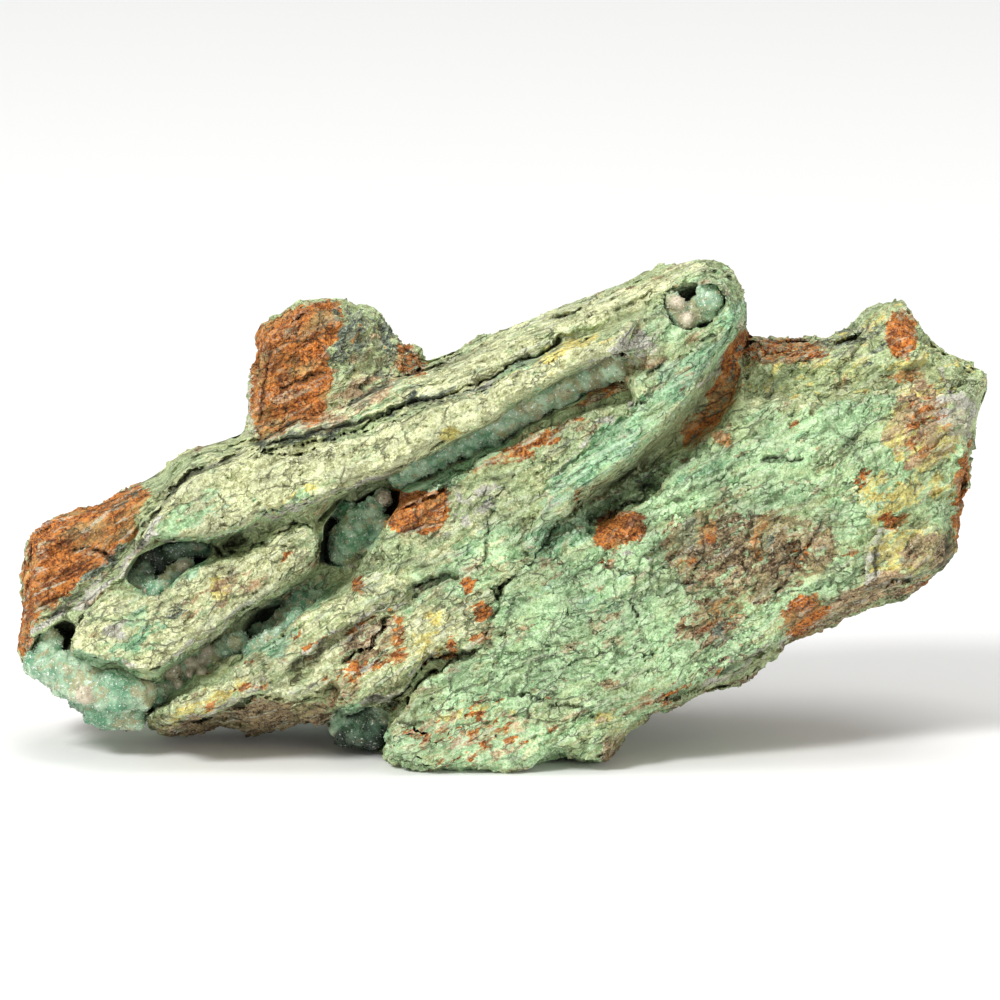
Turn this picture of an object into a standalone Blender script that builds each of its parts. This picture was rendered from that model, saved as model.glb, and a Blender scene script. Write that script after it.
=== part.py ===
"""A rough green moonstone cluster: one weathered stone whose hollows are lined with green druse.

The stone is first shaped lying face up, with X along its length, Y up its face and Z towards the viewer.
It is then stood on its foot, leaning back a little, and cut flat where it rests.
"""

import math

import bmesh
import bpy
import numpy as np
from mathutils import Matrix, Vector

# Driving dimensions, in metres and degrees
LENGTH = 0.160
LEAN_BACK = 12.0
RIM_HALF_THICKNESS = 0.0012
FRONT_ROUNDING = 0.0065
BACK_ROUNDING = 0.0150
FOOT_FRONT = 0.015
WORN_OFF = 0.0009
BACK_DEPTH = 0.024
FRONT_GROUND = 0.014
EDGE_WANDER = 0.0008
BACK_EDGE_WANDER = 0.0022
WANDER_SIZE = 0.006
RIM_BLEND = 0.004
RIM_BLEND_POWER = -1.5
CALM = 0.70
BEHIND_RIM = (0.001, 0.008)
BELLY = (0.003, 0.012)
DRAWN_IN = 0.0022
CRUST_GAP = 0.0006
SHIFT_RIGHT = -0.0004
SHIFT_BACK = -0.0091

# How finely each step is meshed
SLAB_HALF_THICKNESS = 0.004
SLAB_VOXEL = 0.0014
FORM_VOXEL = 0.0013
CUT_VOXEL = 0.0011
STONE_TRIANGLES = 4800
BACK_THINNING = 0.15
THINNED_FROM = (-0.2, 0.4)
LEAST_THINNING = 0.5
GRAIN_SUBDIVISIONS = 3
HOLLOW_SUBDIVISIONS = 3
CRUST_VOXEL = 0.0006
CRUST_TRIANGLES = 300

# How the noise is laid out: where each seed's lattice starts, and how far a facet's middle strays in its cell
SEED_SPACING = 17.31
FACET_JITTER = 0.45

# How the rock is broken up, from lumps down to chips; ledges run along the bedding and into the rock
LUMPS = dict(height=0.0020, size=0.022)
BROKEN_FACES = dict(height=0.0030, size=0.017)
CHIPPED_FACES = dict(height=0.0012, size=0.0075)
LEDGES = dict(height=0.0010, size=0.0055)
LEDGE_STRETCH = 5.0
LEDGE_DEPTH_STRETCH = 2.2
CHIPS = dict(height=0.0004, size=0.0045)
HOLLOW_ROUGHNESS = dict(height=0.0008, size=0.004)

# Finishes: sage green weathered rock and glassy blue-green druse
ROCK_COLOUR = (0.41, 0.45, 0.25)
ROCK_ROUGHNESS = 0.85
DRUSE_COLOUR = (0.24, 0.43, 0.29)
DRUSE_ROUGHNESS = 0.35

# The face is laid out on a drawing grid, columns to the right and rows downwards
LEFT_COLUMN = 13
RIGHT_COLUMN = 987
FOOT_ROW = 771
MIDDLE_COLUMN = (LEFT_COLUMN + RIGHT_COLUMN) / 2
GRID = LENGTH / (RIGHT_COLUMN - LEFT_COLUMN)
BEDDING_ANGLE = math.radians(29)

# The outline of the face, clockwise, in grid columns and rows
OUTLINE = {
    "left end": [
        (13, 655), (18, 636), (24, 604), (18, 584), (27, 562), (28, 545), (32, 530), (42, 523), (53, 516),
    ],
    "left shoulder": [
        (72, 514), (103, 503), (120, 494), (134, 482), (166, 468), (175, 458), (198, 447), (212, 444),
        (224, 437), (236, 441), (245, 432),
    ],
    "knob": [
        (247, 405), (252, 362), (258, 352), (254, 340), (258, 328), (266, 321), (280, 318), (290, 308),
        (302, 303), (320, 300), (336, 301), (346, 306), (362, 309), (378, 316), (388, 330), (412, 357),
        (424, 367),
    ],
    "spar top": [
        (442, 360), (472, 346), (503, 328), (520, 322), (545, 314), (565, 307), (590, 297), (610, 288),
        (640, 275), (670, 268), (690, 262), (712, 260), (722, 263),
    ],
    "spar tip": [(735, 275), (740, 292), (747, 308), (749, 325), (746, 340)],
    "right shoulder": [(760, 336), (785, 338), (808, 335), (828, 339), (848, 330), (862, 321)],
    "peak": [(878, 306), (898, 304), (912, 318), (925, 338), (942, 359)],
    "teeth": [(958, 352), (966, 372), (984, 371), (987, 383), (980, 400)],
    "right end": [
        (974, 430), (970, 458), (972, 472), (965, 492), (962, 510), (958, 530), (960, 545), (958, 556),
    ],
    "underside": [
        (945, 570), (928, 585), (905, 595), (880, 599), (858, 610), (838, 618), (824, 631), (808, 632),
        (792, 637), (780, 652), (764, 664), (745, 678), (728, 686), (705, 691), (682, 702), (655, 711),
        (636, 722), (622, 738), (612, 752), (600, 762),
    ],
    "foot": [
        (588, 765), (576, 757), (556, 754), (542, 757), (528, 767), (505, 771), (478, 770), (425, 771),
        (400, 765), (370, 755), (350, 742), (331, 738), (332, 724),
    ],
    "left foot": [
        (300, 726), (270, 732), (238, 734), (230, 727), (212, 726), (190, 734), (165, 738), (153, 730),
        (150, 720), (140, 718), (130, 726), (112, 720), (92, 714), (82, 705), (78, 694), (58, 686),
        (40, 674), (26, 672), (18, 662),
    ],
}

# How far in front of the middle plane the rim of the face lies: column, row, millimetres
RIM_POINTS = [
    (430, 770, 15), (520, 770, 16), (600, 762, 13), (350, 745, 4), (165, 738, -1), (240, 734, -2),
    (90, 714, 2), (15, 655, 0), (22, 590, -3), (60, 515, -5), (140, 480, -3), (200, 447, -1),
    (247, 400, -6), (262, 325, -9), (320, 300, -9), (390, 330, -9), (430, 365, -7), (503, 328, -4),
    (600, 290, -1), (712, 262, 5), (748, 320, 2), (760, 337, -10), (810, 336, -12), (850, 330, -8),
    (890, 304, -6), (940, 358, -4), (985, 380, 0), (972, 460, -4), (958, 530, -5), (950, 565, -3),
    (850, 612, -4), (790, 637, -6), (700, 692, 3), (640, 720, 9),
]

# Plates of the front, laid over each other in this order: outline in columns and rows, height of the plate's
# middle above the middle plane, its rise to the right and upwards (metres per metre), and its edge's width
PLATES = {
    "main mass": dict(
        outline=[
            (380, 757), (392, 712), (440, 668), (482, 640), (505, 590), (560, 520), (640, 470), (700, 440),
            (760, 405), (860, 392), (940, 392), (975, 420), (968, 500), (952, 545), (860, 598), (780, 648),
            (700, 690), (622, 735), (600, 765), (500, 775), (420, 775),
        ],
        height=0.0185, right=-0.060, up=-0.030, edge=0.0035,
    ),
    "right shoulder": dict(
        outline=[
            (745, 395), (742, 345), (790, 332), (830, 335), (880, 300), (905, 300), (945, 355), (990, 365),
            (990, 390), (930, 402), (860, 396), (800, 404),
        ],
        height=0.0080, right=0.020, up=-0.550, edge=0.0030,
    ),
    "right crest": dict(
        outline=[(850, 598), (878, 532), (955, 528), (965, 548), (930, 566), (885, 580)],
        height=0.0175, right=-0.060, up=0.250, edge=0.0022,
    ),
    "middle wedge": dict(
        outline=[
            (356, 580), (392, 520), (450, 478), (520, 440), (600, 410), (655, 400), (640, 440), (560, 520),
            (510, 582), (440, 600), (380, 618), (330, 640),
        ],
        height=0.0195, right=0.010, up=-0.080, edge=0.0025,
    ),
    "striped plate": dict(
        outline=[
            (322, 724), (345, 690), (330, 672), (372, 640), (400, 605), (455, 580), (492, 578), (500, 600),
            (478, 650), (430, 658), (398, 690), (360, 716),
        ],
        height=0.0205, right=-0.040, up=0.060, edge=0.0022,
    ),
    "lower ledge": dict(
        outline=[
            (150, 716), (172, 700), (212, 684), (248, 662), (285, 630), (330, 600), (385, 572), (420, 585),
            (385, 622), (345, 660), (318, 694), (250, 704), (196, 722), (160, 736),
        ],
        height=0.0200, right=0.030, up=0.050, edge=0.0020,
    ),
    "second plate": dict(
        outline=[
            (74, 648), (84, 616), (112, 590), (150, 596), (190, 570), (240, 555), (300, 520), (322, 536),
            (316, 566), (285, 592), (240, 618), (205, 648), (160, 668), (110, 662),
        ],
        height=0.0205, right=0.030, up=-0.040, edge=0.0020,
    ),
    "left block": dict(
        outline=[
            (14, 655), (20, 590), (30, 530), (55, 514), (135, 480), (155, 500), (140, 530), (118, 562),
            (80, 594), (34, 622), (24, 664),
        ],
        height=0.0125, right=0.160, up=-0.180, edge=0.0022,
    ),
    "knob": dict(
        outline=[
            (246, 436), (252, 360), (258, 325), (300, 300), (345, 304), (385, 325), (425, 366), (400, 395),
            (330, 425), (280, 438),
        ],
        height=0.0070, right=0.030, up=-0.160, edge=0.0030,
    ),
    "knob back slope": dict(
        outline=[(334, 300), (380, 315), (426, 367), (396, 392), (356, 392), (330, 360)],
        height=0.0040, right=-0.420, up=-0.160, edge=0.0040,
    ),
    "spar top face": dict(
        outline=[
            (236, 446), (330, 412), (424, 366), (503, 326), (610, 286), (690, 260), (725, 262), (690, 286),
            (640, 302), (560, 342), (515, 366), (440, 396), (335, 438), (282, 448),
        ],
        height=0.0155, right=0.060, up=-0.520, edge=0.0015,
    ),
    "spar front plate": dict(
        outline=[
            (138, 540), (162, 504), (196, 468), (245, 450), (296, 456), (335, 444), (440, 402), (520, 372),
            (560, 350), (640, 318), (668, 316), (640, 345), (560, 378), (490, 420), (400, 472), (320, 500),
            (262, 520), (215, 542), (160, 538), (140, 552),
        ],
        height=0.0240, right=0.010, up=0.020, edge=0.0018,
    ),
    "spar tip": dict(
        outline=[
            (610, 362), (640, 318), (690, 276), (724, 262), (742, 290), (748, 318), (740, 330), (700, 372),
            (672, 405), (640, 402), (625, 380),
        ],
        height=0.0215, right=-0.040, up=0.020, edge=0.0025,
    ),
    "teal ribbon": dict(
        outline=[
            (742, 318), (728, 345), (700, 385), (660, 432), (600, 478), (560, 512), (530, 552), (515, 548),
            (560, 480), (620, 432), (655, 390), (700, 345),
        ],
        height=0.0230, right=-0.020, up=0.020, edge=0.0018,
    ),
    "underside": dict(
        outline=[
            (700, 692), (770, 655), (800, 622), (866, 596), (900, 582), (935, 568), (965, 550), (965, 570),
            (930, 590), (860, 614), (800, 640), (740, 690),
        ],
        height=0.0030, right=0.000, up=1.300, edge=0.0015,
    ),
    "left underside": dict(
        outline=[
            (165, 728), (210, 718), (250, 707), (318, 700), (345, 718), (330, 740), (240, 740), (165, 745),
        ],
        height=0.0070, right=0.000, up=1.500, edge=0.0012,
    ),
}

# Grooves between the plates: path in columns and rows, depth and half width in metres
GROOVES = {
    "under the spar": dict(
        path=[(222, 548), (300, 518), (390, 482), (440, 456), (500, 428), (560, 392), (625, 366)],
        depth=0.0065, width=0.0022,
    ),
    "spar top seam": dict(
        path=[(285, 450), (350, 434), (440, 400), (520, 370), (560, 350)],
        depth=0.0022, width=0.0010,
    ),
    "under the second plate": dict(
        path=[(160, 690), (205, 658), (246, 626), (288, 600), (320, 580), (372, 560)],
        depth=0.0060, width=0.0022,
    ),
    "under the middle wedge": dict(
        path=[(300, 668), (350, 630), (400, 596), (455, 574)],
        depth=0.0025, width=0.0012,
    ),
    "beside the striped plate": dict(
        path=[(332, 724), (380, 700), (430, 664), (470, 652)],
        depth=0.0035, width=0.0015,
    ),
    "spar tip back": dict(
        path=[(746, 342), (722, 388), (690, 436), (640, 476), (596, 512)],
        depth=0.0080, width=0.0030,
    ),
    "middle crack": dict(
        path=[(540, 540), (580, 512), (630, 490), (655, 474)],
        depth=0.0030, width=0.0013,
    ),
    "left block seam": dict(
        path=[(30, 640), (80, 600), (120, 566), (146, 532)],
        depth=0.0015, width=0.0012,
    ),
    "under the shoulder": dict(
        path=[(742, 400), (800, 386), (860, 388), (930, 380)],
        depth=0.0020, width=0.0025,
    ),
    "brown patch": dict(
        path=[(670, 560), (730, 590), (790, 560)],
        depth=0.0022, width=0.0040,
    ),
}

# Open hollows: middle in column and row, how deep its middle lies under the front, half its length, width and
# depth in metres, and the angle of its length in degrees
HOLLOWS = {
    "upper left hollow": dict(middle=(171, 562), sink=0.0030, half_sizes=(0.0080, 0.0036, 0.0095), angle=27),
    "middle hollow": dict(middle=(358, 522), sink=0.0030, half_sizes=(0.0100, 0.0042, 0.0095), angle=46),
    "lower hollow": dict(middle=(270, 622), sink=0.0025, half_sizes=(0.0062, 0.0030, 0.0070), angle=30),
    "left end hollow": dict(middle=(60, 640), sink=0.0030, half_sizes=(0.0042, 0.0024, 0.0080), angle=40),
    "spar tip hollow": dict(middle=(690, 312), sink=0.0025, half_sizes=(0.0048, 0.0034, 0.0062), angle=22),
    "foot hollow": dict(middle=(360, 736), sink=0.0035, half_sizes=(0.0072, 0.0044, 0.0085), angle=38),
}

# Green druse in each hollow, as runs of round grains. A run goes from one grain to another: column, row, how
# deep the grain's middle lies under the front, its radius, both in millimetres, and then how many grains
CRUSTS = {
    "upper_left_druse": [
        ((136, 582, 5.5, 2.2), (160, 592, 3.0, 1.8), 3),
        ((136, 582, 6.0, 2.2), (148, 556, 7.5, 2.4), 3),
        ((148, 556, 8.5, 2.4), (200, 546, 5.0, 1.8), 6),
        ((160, 592, 3.0, 1.8), (186, 566, 3.0, 1.5), 4),
        ((148, 574, 7.5, 2.6), (176, 562, 9.5, 2.8), 3),
    ],
    "middle_druse": [
        ((340, 560, 5.5, 2.4), (352, 534, 4.2, 2.6), 4),
        ((352, 534, 4.2, 2.6), (383, 498, 2.8, 1.4), 5),
        ((340, 560, 6.0, 2.2), (356, 572, 2.4, 1.6), 3),
        ((318, 508, 2.2, 1.9), (350, 512, 4.2, 1.8), 4),
        ((350, 512, 5.0, 1.8), (352, 534, 6.5, 2.6), 3),
        ((356, 572, 2.6, 1.6), (384, 524, 3.6, 1.4), 5),
    ],
    "lower_druse": [
        ((246, 652, 3.5, 1.6), (280, 640, 4.0, 2.2), 4),
        ((280, 640, 4.5, 2.2), (316, 600, 2.6, 1.6), 5),
        ((280, 630, 6.0, 2.4), (300, 606, 3.6, 2.2), 3),
        ((262, 636, 7.5, 2.2), (280, 640, 5.0, 2.2), 3),
    ],
    "left_end_druse": [
        ((44, 664, 2.0, 2.4), (80, 686, 1.4, 2.6), 4),
        ((80, 686, 1.4, 2.6), (118, 688, 0.4, 3.5), 4),
        ((118, 688, 0.4, 3.5), (104, 710, 3.5, 2.8), 2),
        ((104, 708, 4.0, 2.8), (134, 716, 4.0, 2.2), 3),
        ((118, 688, 1.2, 3.2), (156, 694, 0.6, 2.2), 4),
        ((156, 694, 0.6, 2.2), (196, 664, 0.2, 2.0), 5),
        ((196, 664, 0.2, 2.0), (240, 642, -0.6, 1.8), 5),
        ((156, 694, 2.6, 2.2), (196, 664, 2.2, 2.0), 4),
        ((44, 664, 2.4, 2.4), (52, 640, 3.6, 2.0), 3),
        ((80, 668, 1.4, 2.8), (44, 664, 2.4, 2.4), 3),
        ((80, 686, 4.5, 2.8), (104, 708, 4.5, 2.8), 3),
    ],
    "spar_tip_druse": [
        ((708, 300, 1.6, 2.2), (708, 306, 4.0, 2.4), 2),
        ((708, 306, 4.5, 2.4), (682, 322, 4.2, 1.8), 4),
        ((682, 322, 3.6, 1.8), (672, 304, 3.4, 1.3), 3),
    ],
    "spar_seam_druse": [
        ((400, 478, -1.4, 1.7), (440, 454, -1.8, 1.9), 5),
        ((440, 454, -1.8, 1.9), (486, 432, -1.4, 2.5), 5),
        ((486, 432, -1.4, 2.5), (530, 406, -2.0, 2.3), 5),
        ((530, 406, -2.0, 2.3), (580, 382, -1.2, 2.1), 6),
        ((580, 382, -1.2, 2.1), (624, 362, -1.8, 2.2), 5),
        ((486, 432, 0.6, 2.5), (580, 382, 0.6, 2.1), 9),
    ],
    "foot_druse": [
        ((348, 726, 7.0, 2.7), (372, 712, 6.8, 2.8), 3),
        ((372, 712, 6.8, 2.8), (392, 702, 4.0, 1.8), 3),
        ((348, 726, 7.0, 2.7), (372, 732, 7.6, 2.8), 3),
        ((372, 732, 7.6, 2.8), (384, 716, 5.6, 2.2), 3),
    ],
}

# Plates of the back, in the same form as those of the front
BACK_PLATES = {
    "left back": dict(
        outline=[
            (0, 670), (20, 520), (135, 470), (250, 425), (290, 500), (262, 590), (230, 700), (90, 730),
        ],
        height=-0.0150, right=-0.110, up=0.120, edge=0.0060,
    ),
    "knob back": dict(
        outline=[(236, 450), (246, 330), (300, 290), (385, 305), (440, 370), (452, 432), (330, 480)],
        height=-0.0235, right=-0.060, up=0.140, edge=0.0040,
    ),
    "spar back": dict(
        outline=[
            (440, 352), (600, 280), (720, 250), (760, 300), (752, 372), (640, 404), (500, 436), (440, 420),
        ],
        height=-0.0125, right=0.100, up=0.300, edge=0.0060,
    ),
    "shoulder back": dict(
        outline=[(770, 320), (900, 290), (995, 370), (980, 452), (900, 470), (806, 440), (764, 390)],
        height=-0.0190, right=0.160, up=0.120, edge=0.0040,
    ),
    "right ledge": dict(
        outline=[(812, 470), (975, 455), (965, 560), (880, 610), (784, 640), (772, 560)],
        height=-0.0150, right=0.220, up=-0.100, edge=0.0035,
    ),
    "lower ledge": dict(
        outline=[(452, 640), (560, 604), (700, 612), (720, 700), (620, 750), (560, 770), (452, 780)],
        height=-0.0185, right=0.120, up=-0.220, edge=0.0035,
    ),
    "left step": dict(
        outline=[(262, 560), (360, 520), (452, 560), (440, 700), (330, 740), (240, 720)],
        height=-0.0210, right=0.060, up=-0.120, edge=0.0040,
    ),
    "high step": dict(
        outline=[(470, 450), (620, 420), (740, 400), (760, 470), (640, 520), (520, 540), (462, 500)],
        height=-0.0262, right=-0.050, up=0.060, edge=0.0030,
    ),
}


def unit_noise(points, cell, seed):
    """Smooth lattice noise from -1 to 1 at each point, with features about one cell across."""
    scaled = points / cell + seed * SEED_SPACING
    corner = np.floor(scaled).astype(np.int64)
    along = scaled - corner
    ease = along * along * along * (along * (along * 6 - 15) + 10)
    total = np.zeros(len(points))
    for step in np.ndindex(2, 2, 2):
        share = np.where(np.array(step) == 1, ease, 1 - ease)
        total += lattice_value(corner + np.array(step), seed) * share.prod(axis=1)
    return total


def layered_noise(points, cell, octaves, seed):
    """Noise summed over octaves, each half the size and half the strength of the last."""
    return sum(unit_noise(points, cell / 2**i, seed + i) / 2**i for i in range(octaves))


def lattice_value(cell, seed):
    """An even spread of values from -1 to 1, one for each cell of a lattice."""
    mixed = cell[:, 0] * 374761393 + cell[:, 1] * 668265263 + cell[:, 2] * 2147483647 + seed * 974634777
    mixed = (mixed ^ (mixed >> 13)) * 1274126177
    return ((mixed ^ (mixed >> 16)) & 0xFFFF) / 32767.5 - 1


def facets(points, cell, seed):
    """Tilted flat facets about one cell across, from -1 to 1, with a step wherever two of them meet."""
    corner = np.floor(points / cell).astype(np.int64)
    nearest = np.full(len(points), np.inf)
    value = np.zeros(len(points))
    for step in np.ndindex(3, 3, 3):
        own = corner + np.array(step) - 1
        jitter = np.column_stack([lattice_value(own, seed + axis) for axis in range(3)])
        tilt = np.column_stack([lattice_value(own, seed + 3 + axis) for axis in range(3)])
        offset = points / cell - (own + 0.5 + FACET_JITTER * jitter)
        distance = (offset**2).sum(axis=1)
        closer = distance < nearest
        nearest = np.where(closer, distance, nearest)
        value = np.where(closer, (offset * tilt).sum(axis=1), value)
    return value


def smooth_step(value, low, high):
    share = np.clip((value - low) / (high - low), 0, 1)
    return share * share * (3 - 2 * share)


def on_face(column, row):
    """Grid column and row to metres along X and Y of the lying stone."""
    return (column - MIDDLE_COLUMN) * GRID, (FOOT_ROW - row) * GRID


def segment_distances(x, y, start, end):
    """Distance of each point from one straight segment."""
    dx, dy = end[0] - start[0], end[1] - start[1]
    share = np.clip(((x - start[0]) * dx + (y - start[1]) * dy) / (dx * dx + dy * dy), 0, 1)
    return np.hypot(x - start[0] - share * dx, y - start[1] - share * dy)


def path_distance(x, y, path):
    points = [on_face(*p) for p in path]
    return np.min([segment_distances(x, y, a, b) for a, b in zip(points, points[1:])], axis=0)


def inside_distance(x, y, outline):
    """Distance from the outline's edge, positive inside it."""
    points = [on_face(*p) for p in outline]
    edges = list(zip(points, points[1:] + points[:1]))
    nearest = np.min([segment_distances(x, y, a, b) for a, b in edges], axis=0)
    inside = np.zeros(len(x), bool)
    for (ax, ay), (bx, by) in edges:
        crosses = (ay > y) != (by > y)
        inside ^= crosses & (x < (bx - ax) * (y - ay) / ((by - ay) or 1e-12) + ax)
    return np.where(inside, nearest, -nearest)


def outline_points():
    return [point for stretch in OUTLINE.values() for point in stretch]


def rim_height(x, y):
    """Height of the rim, blended smoothly from the points where it was set."""
    weights, total = 0, 0
    for column, row, millimetres in RIM_POINTS:
        px, py = on_face(column, row)
        weight = ((x - px) ** 2 + (y - py) ** 2 + RIM_BLEND**2) ** RIM_BLEND_POWER
        weights = weights + weight
        total = total + weight * millimetres / 1000
    return total / weights


def bent(x, y, wander):
    """The same points moved about a little, which makes every straight edge uneven."""
    flat = np.column_stack([x, y, np.zeros(len(x))])
    bent_x = x + wander * layered_noise(flat, WANDER_SIZE, 2, 3)
    bent_y = y + wander * layered_noise(flat, WANDER_SIZE, 2, 5)
    return bent_x, bent_y


def laid_plates(x, y, bent_x, bent_y, plates, ground):
    """Height of tilted plates laid over each other on flat ground."""
    height = np.full(len(x), ground)
    for plate in plates.values():
        middle = np.mean([on_face(*p) for p in plate["outline"]], axis=0)
        plane = plate["height"] + plate["right"] * (x - middle[0]) + plate["up"] * (y - middle[1])
        inside = inside_distance(bent_x, bent_y, plate["outline"])
        share = smooth_step(inside, -plate["edge"] / 2, plate["edge"] / 2)
        height = height * (1 - share) + plane * share
    return height


def front_height(x, y):
    """Height of the front of the stone above the middle plane."""
    bent_x, bent_y = bent(x, y, EDGE_WANDER)
    height = laid_plates(x, y, bent_x, bent_y, PLATES, FRONT_GROUND)
    for groove in GROOVES.values():
        apart = path_distance(bent_x, bent_y, groove["path"])
        height = height - groove["depth"] * np.exp(-((apart / groove["width"]) ** 2))
    return height


def back_height(x, y):
    """Height of the back of the stone, which lies below the middle plane."""
    bent_x, bent_y = bent(x, y, BACK_EDGE_WANDER)
    return laid_plates(x, y, bent_x, bent_y, BACK_PLATES, -BACK_DEPTH)


def roughness(points):
    """How far each point of the broken rock stands out, from lumps down to chips."""
    along, across = math.cos(BEDDING_ANGLE), math.sin(BEDDING_ANGLE)
    beds = np.column_stack([
        (points[:, 0] * along + points[:, 1] * across) / LEDGE_STRETCH,
        -points[:, 0] * across + points[:, 1] * along,
        points[:, 2] / LEDGE_DEPTH_STRETCH,
    ])
    lumps = LUMPS["height"] * layered_noise(points, LUMPS["size"], 2, 11)
    broken = BROKEN_FACES["height"] * facets(points, BROKEN_FACES["size"], 61)
    chipped = CHIPPED_FACES["height"] * facets(points, CHIPPED_FACES["size"], 71)
    ledges = LEDGES["height"] * layered_noise(beds, LEDGES["size"], 2, 21)
    chips = CHIPS["height"] * layered_noise(points, CHIPS["size"], 2, 31)
    return lumps + broken + chipped + ledges + chips


def vertices_of(mesh):
    points = np.empty(len(mesh.vertices) * 3, np.float32)
    mesh.vertices.foreach_get("co", points)
    return points.reshape(-1, 3).astype(float)


def move_vertices(mesh, points):
    mesh.vertices.foreach_set("co", points.astype(np.float32).ravel())
    mesh.update()


def normals_of(mesh):
    normals = np.empty(len(mesh.vertices) * 3, np.float32)
    mesh.vertex_normals.foreach_get("vector", normals)
    return normals.reshape(-1, 3).astype(float)


def evaluated_mesh(piece):
    """The mesh of an object with its modifiers applied."""
    graph = bpy.context.evaluated_depsgraph_get()
    return bpy.data.meshes.new_from_object(piece.evaluated_get(graph))


def bake(piece):
    """Applies an object's modifiers and drops them."""
    mesh = evaluated_mesh(piece)
    piece.modifiers.clear()
    piece.data = mesh


def remesh(piece, voxel):
    modifier = piece.modifiers.new("Even mesh", "REMESH")
    modifier.mode = "VOXEL"
    modifier.voxel_size = voxel
    bake(piece)


def thin_out(piece, triangles, back_thinning=0):
    """Collapses edges until the piece has about this many triangles, sooner on the back if that is asked."""
    piece.data.calc_loop_triangles()
    modifier = piece.modifiers.new("Fewer faces", "DECIMATE")
    modifier.ratio = min(1, triangles / len(piece.data.loop_triangles))
    modifier.use_collapse_triangulate = True
    group = piece.vertex_groups.new(name="thinning")
    facing_back = smooth_step(-normals_of(piece.data)[:, 2], *THINNED_FROM)
    weights = LEAST_THINNING + (1 - LEAST_THINNING) * facing_back
    for index, weight in enumerate(weights):
        group.add([index], float(weight), "REPLACE")
    modifier.vertex_group = group.name
    modifier.vertex_group_factor = back_thinning
    bake(piece)
    piece.vertex_groups.clear()


def cut(piece, cutter, solver="EXACT"):
    modifier = piece.modifiers.new("Cut", "BOOLEAN")
    modifier.operation = "DIFFERENCE"
    modifier.solver = solver
    modifier.object = cutter
    bake(piece)


def keep_largest_body(piece):
    """Drops the crumbs that a cut or a remesh left loose."""
    whole = bmesh.new()
    whole.from_mesh(piece.data)
    waiting = set(whole.verts)
    bodies = []
    while waiting:
        body = {waiting.pop()}
        edge_of_body = set(body)
        while edge_of_body:
            reached = {edge.other_vert(vert) for vert in edge_of_body for edge in vert.link_edges}
            edge_of_body = reached - body
            body |= edge_of_body
        waiting -= body
        bodies.append(body)
    bodies.sort(key=len)
    crumbs = [vert for body in bodies[:-1] for vert in body]
    bmesh.ops.delete(whole, geom=crumbs, context="VERTS")
    whole.to_mesh(piece.data)
    whole.free()


def plain_slab(collection):
    """The outline of the face as a thin slab lying on the middle plane."""
    curve = bpy.data.curves.new("Face outline", "CURVE")
    curve.dimensions = "2D"
    curve.fill_mode = "BOTH"
    curve.extrude = SLAB_HALF_THICKNESS
    spline = curve.splines.new("POLY")
    points = [on_face(*p) for p in outline_points()]
    spline.points.add(len(points) - 1)
    for point, (x, y) in zip(spline.points, points):
        point.co = (x, y, 0, 1)
    spline.use_cyclic_u = True
    drawn = bpy.data.objects.new("Face outline", curve)
    collection.objects.link(drawn)
    mesh = evaluated_mesh(drawn)
    bpy.data.objects.remove(drawn)
    welded = bmesh.new()
    welded.from_mesh(mesh)
    bmesh.ops.remove_doubles(welded, verts=welded.verts, dist=1e-5)
    bmesh.ops.recalc_face_normals(welded, faces=welded.faces)
    welded.to_mesh(mesh)
    welded.free()
    return mesh


def swell(mesh):
    """Raises the slab's front and back to the form of the stone."""
    points = vertices_of(mesh)
    x, y = points[:, 0], points[:, 1]
    inward = np.maximum(inside_distance(x, y, outline_points()), 0)
    side = np.clip(points[:, 2] / SLAB_HALF_THICKNESS, -1, 1)
    rim = rim_height(x, y)
    front_share = np.sqrt(1 - (1 - np.clip(inward / FRONT_ROUNDING, 0, 1)) ** 2)
    back_share = np.sqrt(1 - (1 - np.clip(inward / BACK_ROUNDING, 0, 1)) ** 2)
    front = rim + (front_height(x, y) - rim) * front_share + RIM_HALF_THICKNESS
    back = rim + (back_height(x, y) - rim) * back_share - RIM_HALF_THICKNESS
    points[:, 2] = back + (front - back) * (side + 1) / 2
    move_vertices(mesh, points)


def roughen(mesh):
    """Breaks up the surface, fully only behind the rim, where it is drawn in so that the rim stays outermost."""
    points = vertices_of(mesh)
    normals = normals_of(mesh)
    behind = smooth_step(rim_height(points[:, 0], points[:, 1]) - points[:, 2], *BEHIND_RIM)
    behind = behind * smooth_step(points[:, 1], *BELLY)
    sideways = 1 - np.abs(normals[:, 2])
    pushed = roughness(points) * (1 - CALM * (1 - behind)) - DRAWN_IN * behind * sideways
    move_vertices(mesh, points + normals * pushed[:, None])


def at_front(column, row, sink):
    """A point this far under the front of the lying stone."""
    x, y = on_face(column, row)
    return Vector((x, y, front_height(np.array([x]), np.array([y]))[0] - sink))


def hollow_mesh(name, hollow):
    """A rough egg in the shape of a hollow."""
    egg = bmesh.new()
    bmesh.ops.create_icosphere(egg, subdivisions=HOLLOW_SUBDIVISIONS, radius=1)
    mesh = bpy.data.meshes.new(name)
    egg.to_mesh(mesh)
    egg.free()
    placed = Matrix.Translation(at_front(*hollow["middle"], hollow["sink"]))
    turned = Matrix.Rotation(math.radians(hollow["angle"]), 4, "Z")
    mesh.transform(placed @ turned @ Matrix.Diagonal((*hollow["half_sizes"], 1)))
    points = vertices_of(mesh)
    pushed = HOLLOW_ROUGHNESS["height"] * layered_noise(points, HOLLOW_ROUGHNESS["size"], 2, 41)
    move_vertices(mesh, points + normals_of(mesh) * pushed[:, None])
    return mesh


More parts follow.
